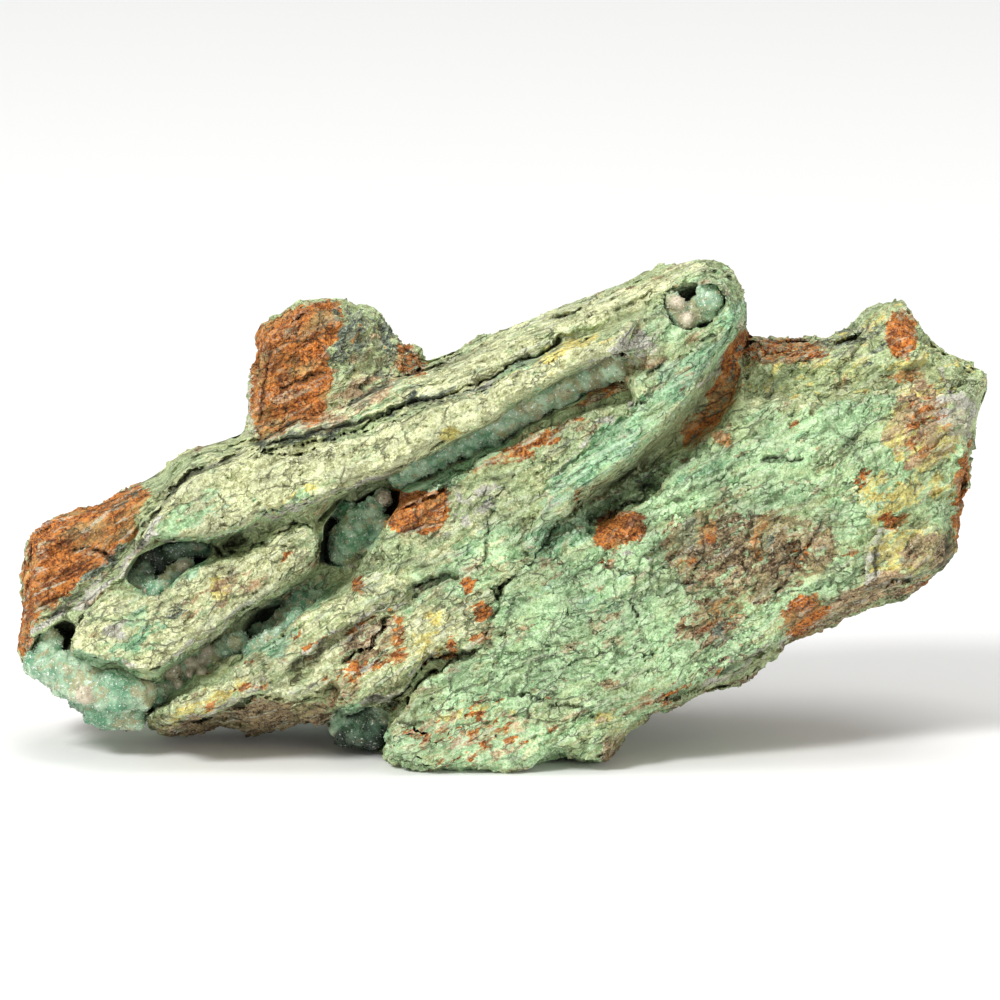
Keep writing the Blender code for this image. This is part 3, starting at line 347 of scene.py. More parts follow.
# Where each mineral shows on the front: middle in column and row, half length, half width, the angle of the
# length in degrees, and how fully it covers the place, where a half is an even mixture
OVALS = {
    "mint": [
        (790, 460, 110, 50, 8, 0.78), (700, 480, 80, 36, 20, 0.80), (600, 600, 100, 56, 25, 0.80),
        (560, 655, 84, 40, 25, 0.75), (650, 665, 90, 34, 25, 0.68), (480, 560, 52, 30, 35, 0.60),
        (280, 512, 72, 10, 25, 0.55), (186, 520, 40, 16, 30, 0.62), (690, 340, 24, 40, 50, 0.60),
        (420, 590, 40, 12, 30, 0.50), (505, 700, 60, 26, 10, 0.45), (840, 430, 50, 24, 0, 0.66),
        (150, 616, 26, 10, 25, 0.55), (540, 600, 60, 36, 35, 0.72), (370, 412, 60, 10, 27, 0.45),
    ],
    "cream": [
        (428, 632, 36, 28, 20, 0.74), (226, 650, 19, 15, 20, 0.80), (470, 736, 84, 28, 0, 0.60),
        (300, 470, 70, 26, 18, 0.80), (360, 400, 64, 22, 28, 0.60), (480, 368, 90, 16, 26, 0.72),
        (620, 300, 70, 12, 24, 0.72), (250, 570, 60, 18, 28, 0.78), (290, 690, 40, 14, 20, 0.60),
        (870, 500, 40, 36, 0, 0.55), (780, 400, 40, 14, 0, 0.50), (220, 474, 34, 20, 25, 0.60),
        (520, 600, 20, 34, 60, 0.45), (900, 395, 50, 14, 0, 0.55), (690, 560, 26, 12, 20, 0.35),
    ],
    "yellow": [
        (223, 590, 12, 15, 30, 0.85), (448, 435, 10, 5, 25, 0.90), (560, 355, 44, 8, 28, 0.66),
        (920, 430, 40, 46, 0, 0.58), (888, 502, 36, 30, 0, 0.52), (438, 617, 9, 6, 0, 0.75),
        (205, 702, 52, 9, 25, 0.60), (88, 696, 10, 6, 0, 0.70), (430, 645, 32, 14, 15, 0.50),
        (610, 722, 18, 16, 30, 0.40), (300, 500, 60, 10, 22, 0.35), (470, 712, 50, 12, 0, 0.40),
        (935, 480, 16, 40, 80, 0.50),
    ],
    "tan": [
        (95, 520, 44, 14, 25, 0.80), (60, 560, 30, 16, 40, 0.55), (110, 545, 26, 10, 40, 0.55),
        (350, 400, 62, 22, 27, 0.52), (300, 424, 44, 10, 20, 0.55), (405, 356, 24, 14, -45, 0.66),
        (920, 430, 44, 40, 60, 0.60), (900, 334, 22, 24, 0, 0.60), (925, 550, 34, 16, 15, 0.66),
        (616, 530, 26, 20, 25, 0.55), (530, 444, 42, 12, 27, 0.62), (600, 386, 42, 18, 28, 0.55),
        (240, 716, 80, 12, 8, 0.56), (760, 560, 80, 44, 10, 0.46), (372, 640, 40, 20, 25, 0.48),
        (785, 350, 48, 18, 0, 0.60), (850, 600, 70, 16, 28, 0.66), (345, 690, 30, 14, 20, 0.50),
        (225, 592, 60, 16, 28, 0.45), (470, 730, 70, 26, 0, 0.42), (645, 362, 16, 10, 25, 0.60),
        (690, 300, 30, 6, 30, 0.35), (640, 700, 50, 10, 25, 0.46), (418, 506, 32, 24, 35, 0.40),
        (305, 360, 40, 50, 80, 0.36), (560, 600, 120, 30, 25, 0.24), (800, 470, 90, 30, 10, 0.20),
    ],
    "chalk": [
        (258, 396, 40, 10, 85, 0.80), (485, 380, 11, 5, 20, 0.75), (478, 503, 28, 20, 40, 0.56),
        (957, 415, 20, 22, 60, 0.62), (870, 566, 36, 9, 72, 0.58), (820, 618, 17, 5, 80, 0.90),
        (632, 348, 30, 16, 22, 0.60), (120, 632, 16, 8, 25, 0.74), (78, 548, 28, 2.5, 55, 0.85),
        (288, 360, 20, 2.2, 36, 0.85), (296, 366, 18, 2.0, 36, 0.80), (222, 705, 42, 3, 22, 0.72),
        (375, 616, 54, 3.5, 33, 0.66), (360, 670, 46, 6, 15, 0.58), (185, 600, 20, 6, 28, 0.50),
        (600, 360, 20, 10, 30, 0.50), (60, 530, 24, 3, 40, 0.55), (720, 560, 30, 12, 0, 0.42),
        (560, 470, 24, 8, 40, 0.42),
    ],
    "umber": [
        (600, 386, 40, 17, 28, 0.62), (688, 548, 26, 30, 20, 0.66), (740, 545, 54, 34, 0, 0.62),
        (778, 546, 18, 21, 0, 0.80), (709, 621, 34, 26, 20, 0.60), (612, 681, 9, 6, 0, 0.74),
        (612, 748, 20, 11, 30, 0.72), (372, 636, 30, 18, 25, 0.60), (345, 688, 27, 12, 20, 0.55),
        (248, 718, 86, 11, 8, 0.85), (925, 550, 32, 16, 15, 0.66), (202, 450, 14, 5, 10, 0.70),
        (310, 567, 20, 7, 20, 0.56), (850, 600, 60, 14, 28, 0.55), (790, 352, 44, 16, 0, 0.60),
        (480, 446, 44, 9, 26, 0.55), (100, 560, 40, 16, 45, 0.42), (455, 575, 40, 7, 30, 0.40),
        (640, 700, 46, 8, 25, 0.40), (725, 660, 44, 10, 30, 0.42),
    ],
    "rust": [
        (418, 506, 34, 27, 35, 0.95), (487, 458, 36, 12, 25, 0.62), (532, 444, 40, 11, 27, 0.60),
        (600, 384, 36, 14, 28, 0.52), (616, 530, 25, 20, 25, 0.92), (722, 437, 12, 8, 0, 0.95),
        (695, 435, 7, 6, 0, 0.85), (572, 480, 8, 4, 20, 0.85), (580, 493, 14, 8, 30, 0.56),
        (708, 532, 10, 9, 0, 0.90), (757, 538, 8, 23, 0, 0.80), (900, 336, 19, 21, 0, 0.95),
        (905, 378, 17, 8, 0, 0.90), (925, 425, 40, 30, 60, 0.36), (892, 522, 14, 7, 0, 0.85),
        (850, 553, 7, 5, 0, 0.80), (800, 616, 26, 16, 30, 0.95), (787, 350, 42, 15, 0, 0.56),
        (358, 583, 12, 7, 90, 0.80), (470, 582, 10, 8, 0, 0.80), (483, 612, 12, 11, 0, 0.85),
        (452, 645, 10, 8, 90, 0.75), (480, 638, 10, 7, 0, 0.75), (295, 638, 11, 7, 20, 0.65),
        (400, 628, 28, 5, 85, 0.60), (362, 668, 50, 12, 15, 0.50), (293, 555, 13, 5, 29, 0.80),
        (210, 700, 7, 5, 0, 0.75), (257, 665, 9, 5, 20, 0.75), (485, 700, 17, 3, 0, 0.75),
        (430, 730, 34, 18, 0, 0.38), (480, 728, 40, 24, 0, 0.38), (670, 695, 24, 8, 30, 0.50),
        (712, 675, 14, 5, 30, 0.56), (357, 337, 12, 5, 60, 0.75), (405, 356, 26, 14, -45, 0.70),
        (709, 620, 32, 20, 20, 0.42), (660, 412, 13, 4, 50, 0.85), (965, 500, 55, 9, 85, 0.90),
        (690, 560, 18, 10, 0, 0.50), (800, 560, 24, 12, 40, 0.42), (430, 660, 24, 6, 30, 0.50),
        (540, 700, 16, 6, 0, 0.50), (860, 480, 20, 8, 30, 0.40), (925, 580, 36, 8, 25, 0.50),
        (520, 560, 14, 5, 40, 0.40), (250, 690, 30, 5, 15, 0.50), (330, 700, 16, 6, 0, 0.45),
        (790, 420, 12, 5, 0, 0.40), (752, 470, 10, 5, 0, 0.42), (600, 560, 12, 5, 0, 0.40),
    ],
    "slate": [
        (366, 342, 32, 28, 0, 0.62), (688, 530, 13, 16, 0, 0.72), (425, 397, 27, 6, 22, 0.72),
        (125, 500, 28, 6, 25, 0.60), (98, 578, 76, 4.5, 41, 0.80), (180, 612, 20, 10, 0, 0.46),
        (852, 342, 34, 28, 0, 0.46), (715, 630, 7, 6, 0, 0.80), (310, 440, 44, 5, 8, 0.66),
        (330, 424, 50, 5, 27, 0.40), (520, 372, 60, 4, 26, 0.45), (770, 540, 12, 14, 0, 0.50),
        (500, 488, 30, 10, 45, 0.42), (190, 450, 24, 5, 20, 0.40), (445, 590, 40, 4, 33, 0.45),
    ],
    "teal": [
        (172, 565, 46, 20, 28, 0.88), (354, 536, 38, 20, 50, 0.92), (457, 461, 68, 18, 28, 0.90),
        (560, 390, 78, 10, 27, 0.62), (562, 536, 42, 13, 35, 0.78), (708, 303, 19, 17, 0, 0.90),
        (684, 315, 24, 12, 20, 0.72), (300, 605, 36, 14, 33, 0.88), (275, 643, 28, 11, 25, 0.80),
        (92, 684, 62, 34, -10, 0.84), (170, 676, 60, 16, 24, 0.66), (140, 616, 16, 8, 25, 0.56),
        (360, 730, 28, 26, 0, 0.88), (512, 372, 34, 4, 25, 0.70), (60, 640, 16, 12, 40, 0.85),
        (240, 530, 44, 6, 24, 0.50), (500, 500, 26, 9, 40, 0.42), (600, 600, 60, 20, 20, 0.40),
        (780, 430, 40, 12, 0, 0.40), (135, 640, 44, 8, 28, 0.60), (470, 540, 30, 10, 40, 0.44),
        (700, 470, 40, 10, 30, 0.50), (560, 580, 30, 8, 30, 0.46), (230, 520, 20, 8, 20, 0.40),
    ],
}

# Minerals in long streaks: path, half width in grid steps, cover
STREAKS = {
    "teal": [
        ([(738, 314), (716, 350), (690, 382), (655, 398),
          (620, 432), (585, 462), (556, 490), (532, 548)], 10, 0.78),
        ([(400, 480), (450, 456), (520, 420), (580, 388), (622, 364)], 9, 0.72),
        ([(150, 540), (200, 520), (262, 498)], 4, 0.45),
        ([(632, 420), (655, 390), (674, 364)], 6, 0.95),
    ],
    "rust": [
        ([(742, 340), (728, 384), (704, 424), (690, 436)], 12, 0.85),
        ([(652, 424), (664, 412), (676, 398)], 4, 0.85),
        ([(395, 605), (402, 630), (398, 655)], 5, 0.60),
        ([(285, 655), (330, 640), (372, 618)], 4, 0.60),
        ([(360, 718), (392, 700), (430, 672)], 3, 0.50),
        ([(574, 396), (598, 386), (620, 378)], 8, 0.66),
        ([(532, 452), (556, 438), (580, 422)], 5, 0.70),
        ([(462, 468), (486, 456)], 8, 0.74),
        ([(440, 760), (500, 742), (560, 734)], 5, 0.50),
    ],
    "umber": [
        ([(590, 297), (640, 278), (690, 266)], 3, 0.55),
        ([(700, 440), (672, 468), (640, 486), (600, 514)], 4, 0.45),
        ([(165, 740), (240, 736), (330, 728)], 5, 0.80),
        ([(640, 722), (700, 694), (760, 668), (800, 636)], 5, 0.50),
    ],
    "slate": [
        ([(262, 444), (300, 438), (345, 426)], 4, 0.85),
        ([(345, 426), (440, 399), (562, 350)], 2.2, 0.66),
        ([(742, 346), (725, 392), (694, 440), (640, 480)], 4, 0.60),
    ],
    "chalk": [
        ([(40, 628), (95, 590), (134, 556), (150, 520)], 1.8, 0.60),
        ([(196, 468), (250, 449), (300, 452)], 2.5, 0.45),
        ([(700, 300), (640, 330), (560, 372)], 2.5, 0.45),
    ],
    "cream": [
        ([(140, 546), (215, 538), (262, 517), (320, 498), (400, 470)], 3, 0.70),
        ([(560, 520), (610, 486), (660, 450)], 5, 0.45),
        ([(604, 354), (640, 340)], 7, 0.60),
    ],
}

# Larger places with an uneven edge: cover and outline
AREAS = {
    "rust": [
        (0.92, [
            (250, 352), (260, 322), (300, 303), (336, 303), (346, 324), (334, 350), (338, 372), (322, 398),
            (318, 424), (262, 436), (252, 400),
        ]),
        (0.86, [
            (14, 655), (20, 590), (28, 530), (55, 514), (104, 500), (134, 482), (152, 500), (134, 536),
            (100, 574), (46, 612), (28, 660),
        ]),
    ],
    "umber": [
        (0.56, [
            (668, 515), (700, 506), (770, 510), (834, 518), (836, 560), (800, 592), (756, 604), (716, 592),
            (688, 582), (662, 552),
        ]),
        (0.66, [
            (740, 684), (770, 655), (804, 624), (866, 600), (935, 572), (960, 556), (945, 574), (905, 599),
            (858, 614), (824, 635), (792, 641), (764, 668),
        ]),
    ],
}

# Green druse of each hollow, as runs of round grains. A run goes from grain to grain: column, row, how deep
# the grain's middle lies under the front, its radius, both in millimetres, and then how many grains
CRUSTS = {
    "upper_left_druse": [
        ((136, 582, 5.5, 2.2), (160, 592, 3.0, 1.8), 3),
        ((136, 582, 6.0, 2.2), (148, 556, 7.5, 2.4), 3),
        ((148, 556, 8.5, 2.4), (200, 546, 5.0, 1.8), 6),
        ((160, 592, 3.0, 1.8), (186, 566, 3.0, 1.5), 4),
        ((148, 574, 7.5, 2.6), (176, 562, 9.5, 2.8), 3),
    ],
    "middle_druse": [
        ((340, 560, 5.5, 2.4), (352, 534, 4.2, 2.6), 4),
        ((352, 534, 4.2, 2.6), (383, 498, 2.8, 1.4), 5),
        ((340, 560, 6.0, 2.2), (356, 572, 2.4, 1.6), 3),
        ((318, 508, 2.2, 1.9), (350, 512, 4.2, 1.8), 4),
        ((350, 512, 5.0, 1.8), (352, 534, 6.5, 2.6), 3),
        ((356, 572, 2.6, 1.6), (384, 524, 3.6, 1.4), 5),
    ],
    "lower_druse": [
        ((246, 652, 3.5, 1.6), (280, 640, 4.0, 2.2), 4),
        ((280, 640, 4.5, 2.2), (316, 600, 2.6, 1.6), 5),
        ((280, 630, 6.0, 2.4), (300, 606, 3.6, 2.2), 3),
        ((262, 636, 7.5, 2.2), (280, 640, 5.0, 2.2), 3),
    ],
    "left_end_druse": [
        ((44, 664, 2.0, 2.4), (80, 686, 1.4, 2.6), 4),
        ((80, 686, 1.4, 2.6), (118, 688, 0.4, 3.5), 4),
        ((118, 688, 0.4, 3.5), (104, 710, 3.5, 2.8), 2),
        ((104, 708, 4.0, 2.8), (134, 716, 4.0, 2.2), 3),
        ((118, 688, 1.2, 3.2), (156, 694, 0.6, 2.2), 4),
        ((156, 694, 0.6, 2.2), (196, 664, 0.2, 2.0), 5),
        ((196, 664, 0.2, 2.0), (240, 642, -0.6, 1.8), 5),
        ((156, 694, 2.6, 2.2), (196, 664, 2.2, 2.0), 4),
        ((44, 664, 2.4, 2.4), (52, 640, 3.6, 2.0), 3),
        ((80, 668, 1.4, 2.8), (44, 664, 2.4, 2.4), 3),
        ((80, 686, 4.5, 2.8), (104, 708, 4.5, 2.8), 3),
    ],
    "spar_tip_druse": [
        ((708, 300, 1.6, 2.2), (708, 306, 4.0, 2.4), 2),
        ((708, 306, 4.5, 2.4), (682, 322, 4.2, 1.8), 4),
        ((682, 322, 3.6, 1.8), (672, 304, 3.4, 1.3), 3),
    ],
    "spar_seam_druse": [
        ((400, 478, -1.4, 1.7), (440, 454, -1.8, 1.9), 5),
        ((440, 454, -1.8, 1.9), (486, 432, -1.4, 2.5), 5),
        ((486, 432, -1.4, 2.5), (530, 406, -2.0, 2.3), 5),
        ((530, 406, -2.0, 2.3), (580, 382, -1.2, 2.1), 6),
        ((580, 382, -1.2, 2.1), (624, 362, -1.8, 2.2), 5),
        ((486, 432, 0.6, 2.5), (580, 382, 0.6, 2.1), 9),
    ],
    "foot_druse": [
        ((348, 726, 7.0, 2.7), (372, 712, 6.8, 2.8), 3),
        ((372, 712, 6.8, 2.8), (392, 702, 4.0, 1.8), 3),
        ((348, 726, 7.0, 2.7), (372, 732, 7.6, 2.8), 3),
        ((372, 732, 7.6, 2.8), (384, 716, 5.6, 2.2), 3),
    ],
}

# Rounded nodules on the druse, as grains: column, row, how deep the middle lies, radius, in millimetres
NODULES = {
    "upper_left_druse": [(185, 566, 0.6, 1.1), (150, 592, 1.4, 0.9)],
    "middle_druse": [(350, 565, 0.8, 1.5), (384, 498, 1.6, 1.3)],
    "left_end_druse": [
        (173, 670, -1.6, 1.6), (197, 665, -1.4, 1.1), (204, 660, -1.4, 1.0), (203, 671, -1.4, 1.0),
        (192, 672, -1.3, 1.0), (190, 660, -1.3, 1.0), (147, 690, -1.6, 1.0), (160, 661, -1.0, 1.0),
        (209, 650, -1.6, 1.1), (180, 684, -1.4, 0.9), (88, 694, -1.2, 1.5),
    ],
    "spar_tip_druse": [(676, 305, 1.8, 1.2), (686, 322, 2.2, 1.4)],
    "spar_seam_druse": [
        (432, 462, 0.4, 1.0), (500, 420, 0.2, 1.1), (556, 392, 0.2, 1.0), (600, 372, 0.4, 1.2),
    ],
}

MINERALS = ("cream", "mint", "yellow", "tan", "chalk", "umber", "rust", "slate", "teal")
# The last channel of the third attribute is not a mineral but painted shade in cracks and recesses
MASKS = (("cream", "mint", "yellow"), ("chalk", "umber", "rust"), ("slate", "teal", "crack"), ("tan",))

# Crumbs strewn over the rock: how many to a square metre, their size, stretch, tilt and sink
CRUMBS = {
    "rock_crumbs": {"Density": 5.3e5, "Size": 0.00036, "Stretch": 1.3, "Tilt": 0.9, "Sink": 0.00012},
    "rock_grit": {"Density": 5.3e5, "Size": 0.00024, "Stretch": 1.0, "Tilt": 1.5, "Sink": 0.00005},
}

# Patches of mineral in the shader, in metres, and the minerals that lie in small ones
SMALL_PATCH = 0.0012
LARGE_PATCH = 0.0016
SMALL_PATCHED = ("rust", "umber", "slate")

# Creases in the shader, as large and small cells: their size in metres, the crease's width in cells,
# from what to what noise it comes in, and where its noise is taken
CREASES = ((0.0040, 0.045, 0.47, 0.56, 0.07), (0.0016, 0.055, 0.50, 0.60, 0.19))

# Plain tints of the finest things: the crease, crevice, crack and hollow tints are painted shade, the glint tint
# is a painted highlight and the pale grain tint partly one
TINTS = {
    "fibre": (0.66, 0.86, 0.62, 1),
    "sallow": (0.56, 0.56, 0.25, 1),
    "Pale Seams": (0.72, 0.76, 0.58, 1),
    "Dark Seams": (0.13, 0.16, 0.09, 1),
    "dark speck": (0.24, 0.105, 0.035, 1),
    "pale_grain_and_highlight": (0.84, 0.86, 0.70, 1),
    "crease": (0.10, 0.09, 0.045, 1),
    "crevice_shade": (0.10, 0.085, 0.04, 1),
    "crack": (0.022, 0.026, 0.016, 1),
    "druse_crevice_shade": (0.05, 0.10, 0.06, 1),
    "hollow_shade": (0.020, 0.032, 0.022, 1),
    "painted_glint": (0.92, 0.95, 0.88, 1),
}

# How the rock is meshed
FORM_VOXEL = 0.00060
FINE_VOXEL = 0.00042
STONE_TRIANGLES = 192000
BACK_THINNING = 0.30
BACK_CRUMBS = 0.10

# How druse is meshed
DRUSE_VOXEL = 0.00026
DRUSE_GROWTH = 0.00010
# Depths in the hollow over which painted shade darkens the druse
HOLLOW_SHADE_DEPTHS = (0.0022, 0.0056)
LIFTED = {"spar_seam_druse": 0.0030}


def millimetres(value):
    return value / 1000


def unit_noise(points, cell, seed):
    """Smooth lattice noise from -1 to 1 at each point, with features about one cell across."""
    scaled = points / cell + seed * 17.31
    corner = np.floor(scaled).astype(np.int64)
    along = scaled - corner
    ease = along * along * along * (along * (along * 6 - 15) + 10)
    total = np.zeros(len(points))
    for step in np.ndindex(2, 2, 2):
        share = np.ones(len(points))
        for axis in range(3):
            share = share * (ease[:, axis] if step[axis] else 1 - ease[:, axis])
        total += lattice_value(corner + np.array(step), seed) * share
    return total


def layered_noise(points, cell, octaves, seed):
    """Noise summed over octaves, each half the size and half the strength of the last."""
    return sum(unit_noise(points, cell / 2**i, seed + i) / 2**i for i in range(octaves))


def lattice_value(cell, seed):
    """An even spread of values from -1 to 1, one for each cell of a lattice."""
    mixed = cell[:, 0] * 374761393 + cell[:, 1] * 668265263 + cell[:, 2] * 2147483647 + seed * 974634777
    mixed = (mixed ^ (mixed >> 13)) * 1274126177
    return ((mixed ^ (mixed >> 16)) & 0xFFFF) / 32767.5 - 1


def facets(points, cell, seed):
    """Tilted flat facets about one cell across, from -1 to 1, with a step wherever two of them meet."""
    corner = np.floor(points / cell).astype(np.int64)
    nearest = np.full(len(points), np.inf)
    value = np.zeros(len(points))
    for step in np.ndindex(3, 3, 3):
        own = corner + np.array(step) - 1
        jitter = np.column_stack([lattice_value(own, seed + axis) for axis in range(3)])
        tilt = np.column_stack([lattice_value(own, seed + 3 + axis) for axis in range(3)])
        offset = points / cell - (own + 0.5 + 0.45 * jitter)
        distance = (offset**2).sum(axis=1)
        closer = distance < nearest
        nearest = np.where(closer, distance, nearest)
        value = np.where(closer, (offset * tilt).sum(axis=1), value)
    return value


def smooth_step(value, low, high):
    share = np.clip((value - low) / (high - low), 0, 1)
    return share * share * (3 - 2 * share)


def on_face(column, row):
    """Grid column and row to metres along X and Y of the lying stone."""
    return (column - MIDDLE_COLUMN) * GRID, (FOOT_ROW - row) * GRID


def segment_distances(x, y, start, end):
    """Distance of each point from one straight segment."""
    dx, dy = end[0] - start[0], end[1] - start[1]
    share = np.clip(((x - start[0]) * dx + (y - start[1]) * dy) / (dx * dx + dy * dy), 0, 1)
    return np.hypot(x - start[0] - share * dx, y - start[1] - share * dy)


def path_distance(x, y, path):
    points = [on_face(*p) for p in path]
    return np.min([segment_distances(x, y, a, b) for a, b in zip(points, points[1:])], axis=0)


def inside_distance(x, y, outline):
    """Distance from the outline's edge, positive inside it."""
    points = [on_face(*p) for p in outline]
    edges = list(zip(points, points[1:] + points[:1]))
    nearest = np.min([segment_distances(x, y, a, b) for a, b in edges], axis=0)
    inside = np.zeros(len(x), bool)
    for (ax, ay), (bx, by) in edges:
        crosses = (ay > y) != (by > y)
        inside ^= crosses & (x < (bx - ax) * (y - ay) / ((by - ay) or 1e-12) + ax)
    return np.where(inside, nearest, -nearest)


def around(x, y, places, margin):
    """The points within a margin of the box around some places of the grid."""
    corners = np.array([on_face(*p) for p in places])
    low, high = corners.min(axis=0) - margin, corners.max(axis=0) + margin
    return np.flatnonzero((x > low[0]) & (x < high[0]) & (y > low[1]) & (y < high[1]))


def rim_height(x, y):
    """Height of the rim, blended smoothly from the points where it was set."""
    weights, total = 0, 0
    for column, row, height in RIM_POINTS:
        px, py = on_face(column, row)
        weight = ((x - px) ** 2 + (y - py) ** 2 + 0.004**2) ** -1.5
        weights = weights + weight
        total = total + weight * millimetres(height)
    return total / weights


def bent(x, y, wander, size, seed):
    """The same points moved about a little, which makes every straight edge uneven."""
    flat = np.column_stack([x, y, np.zeros(len(x))])
    moved_x = x + wander * layered_noise(flat, size, 2, seed)
    moved_y = y + wander * layered_noise(flat, size, 2, seed + 2)
    return moved_x, moved_y


def turned(x, y, degrees):
    """The same points measured along and across a direction."""
    angle = math.radians(degrees)
    return x * math.cos(angle) + y * math.sin(angle), -x * math.sin(angle) + y * math.cos(angle)


def shingles(along, across, period, seed):
    """Thin beds that rise slowly and then break off, each for a short way and by its own amount."""
    flat = np.column_stack([along / 14, across / 3, np.zeros(len(along))])
    wave = across / period + 1.2 * unit_noise(flat, period, seed)
    bed = np.floor(wave).astype(np.int64)
    part = wave - bed
    none = np.zeros(len(along), np.int64)
    offset = lattice_value(np.column_stack([bed, none, none]), seed + 7)
    wavering = 0.25 * unit_noise(flat, period, seed + 5)
    length = np.floor(along / (9 * period) + 3 * offset + wavering).astype(np.int64)
    height = 0.5 + 0.5 * lattice_value(np.column_stack([bed, length, none]), seed)
    return height * part * (1 - smooth_step(part, 0.82, 1.0))


def laminae(x, y, plate, seed):
    """The beds of a plate, thick and thin, along its own direction."""
    along, across = turned(x, y, plate["grain"])
    thick = shingles(along, across, 0.0031, seed)
    thin = shingles(along, -across, 0.0014, seed + 1)
    return plate["laminae"] * (2.6 * thick + 1.5 * thin)


def laid_plates(x, y, bent_x, bent_y, sharpness, fine):
    """Height of tilted plates laid over each other, with their laminae where that is asked."""
    height = np.full(len(x), FRONT_GROUND)
    for seed, plate in enumerate(PLATES.values(), start=100):
        edge = plate["edge"] / sharpness
        near = around(bent_x, bent_y, plate["outline"], edge)
        middle = np.mean([on_face(*p) for p in plate["outline"]], axis=0)
        plane = plate["height"] + plate["right"] * (x[near] - middle[0]) + plate["up"] * (y[near] - middle[1])
        if fine:
            plane = plane + laminae(x[near], y[near], plate, seed)
        inside = inside_distance(bent_x[near], bent_y[near], plate["outline"])
        share = smooth_step(inside, -edge / 2, edge / 2)
        height[near] = height[near] * (1 - share) + plane * share
    return height


def carved(height, x, y, path, depth, width, steepness=2):
    near = around(x, y, path, 3 * width)
    apart = path_distance(x[near], y[near], path)
    height[near] -= depth * np.exp(-((apart / width) ** steepness))


def cell_cracks(x, y, cell, seed):
    """1 on the cracks between uneven cells of a surface, and 0 inside the cells."""
    scaled = np.column_stack([x, y, np.zeros(len(x))]) / cell
    corner = np.floor(scaled).astype(np.int64)
    nearest, second = np.full(len(x), np.inf), np.full(len(x), np.inf)
    for step in np.ndindex(3, 3):
        own = corner + np.array((*step, 0)) - np.array((1, 1, 0))
        across = scaled[:, 0] - own[:, 0] - 0.5 - 0.45 * lattice_value(own, seed)
        up = scaled[:, 1] - own[:, 1] - 0.5 - 0.45 * lattice_value(own, seed + 1)
        distance = np.hypot(across, up)
        second = np.minimum(second, np.maximum(distance, nearest))
        nearest = np.minimum(nearest, distance)
    return 1 - smooth_step(second - nearest, 0.02, 0.16)


def front_height(x, y):
    """Height of the plain front above the middle plane, as the solid stone has it."""
    bent_x, bent_y = bent(x, y, EDGE_WANDER, WANDER_SIZE, 3)
    height = laid_plates(x, y, bent_x, bent_y, 1, False)
    for path, depth, width in GROOVES:
        carved(height, bent_x, bent_y, path, depth, width)
    return height


def fine_height(x, y, settings):
    """Height of the weathered front: sharper plates, laminae, lumps and cracks."""
    bent_x, bent_y = bent(x, y, EDGE_WANDER, WANDER_SIZE, 3)
    ragged_x, ragged_y = bent(bent_x, bent_y, FINE_WANDER, FINE_WANDER_SIZE, 43)
    height = laid_plates(x, y, ragged_x, ragged_y, settings.edge_sharpness, True)
    for path, depth, width in GROOVES:
        carved(height, ragged_x, ragged_y, path, depth, width, 4)
    for column, row, radius, rise in BUMPS:
        px, py = on_face(column, row)
        apart = np.hypot(ragged_x - px, ragged_y - py) / (radius * GRID)
        height += millimetres(rise) * np.sqrt(np.clip(1 - apart**2, 0, 1))
    for path, rise, width in RIDGES:
        carved(height, ragged_x, ragged_y, path, -rise, width * GRID, 4)
    for path, depth, width in CRACKS:
        carved(height, ragged_x, ragged_y, path, depth, CRACK_NARROWING * width * GRID)
    crusted = plate_values(x, y, "crusted")
    height -= crusted * settings.crust_crack_depth * cell_cracks(ragged_x, 1.5 * ragged_y, 0.0027, 15)
    height -= 0.5 * crusted * settings.crust_crack_depth * cell_cracks(ragged_x, 1.5 * ragged_y, 0.0012, 18)
    return height


def brought_down(x, y, height, rounding):
    """A height of the front, brought down to the rim at its edge."""
    inward = np.maximum(inside_distance(x, y, OUTLINE), 0)
    share = np.sqrt(1 - (1 - np.clip(inward / rounding, 0, 1)) ** 2)
    rim = rim_height(x, y)
    return rim + (height - rim) * share + RIM_HALF_THICKNESS


def front_surface(x, y, settings):
    """Height of the weathered front."""
    return brought_down(x, y, fine_height(x, y, settings), FRONT_ROUNDING)


def vertices_of(mesh):
    points = np.empty(len(mesh.vertices) * 3, np.float32)
    mesh.vertices.foreach_get("co", points)
    return points.reshape(-1, 3).astype(float)


def move_vertices(mesh, points):
    mesh.vertices.foreach_set("co", points.astype(np.float32).ravel())
    mesh.update()


def normals_of(mesh):
    normals = np.empty(len(mesh.vertices) * 3, np.float32)
    mesh.vertex_normals.foreach_get("vector", normals)
    return normals.reshape(-1, 3).astype(float)


def new_piece(name, mesh):
    piece = bpy.data.objects.new(name, mesh)
    bpy.context.scene.collection.objects.link(piece)
    return piece


def bake(piece):
    """Applies an object's modifiers and drops them."""
    bpy.context.view_layer.update()
    graph = bpy.context.evaluated_depsgraph_get()
    mesh = bpy.data.meshes.new_from_object(piece.evaluated_get(graph))
    piece.modifiers.clear()
    piece.data = mesh


def remesh(piece, voxel):
    modifier = piece.modifiers.new("Even mesh", "REMESH")
    modifier.mode = "VOXEL"
    modifier.voxel_size = voxel
    bake(piece)


def soften(piece, factor, repeats):
    modifier = piece.modifiers.new("Soft edges", "SMOOTH")
    modifier.factor = factor
    modifier.iterations = repeats
    bake(piece)


def thin_out(piece, triangles, back_thinning):
    """Collapses edges until the piece has about this many triangles, sooner on the back."""
    piece.data.calc_loop_triangles()
    modifier = piece.modifiers.new("Fewer faces", "DECIMATE")
    modifier.ratio = min(1, triangles / len(piece.data.loop_triangles))
    modifier.use_collapse_triangulate = True
    group = piece.vertex_groups.new(name="thinning")
    facing_back = smooth_step(-normals_of(piece.data)[:, 2], -0.2, 0.4)
    for index, weight in enumerate(0.5 + 0.5 * facing_back):
        group.add([index], float(weight), "REPLACE")
    modifier.vertex_group = group.name
    modifier.vertex_group_factor = back_thinning
    bake(piece)
    piece.vertex_groups.clear()


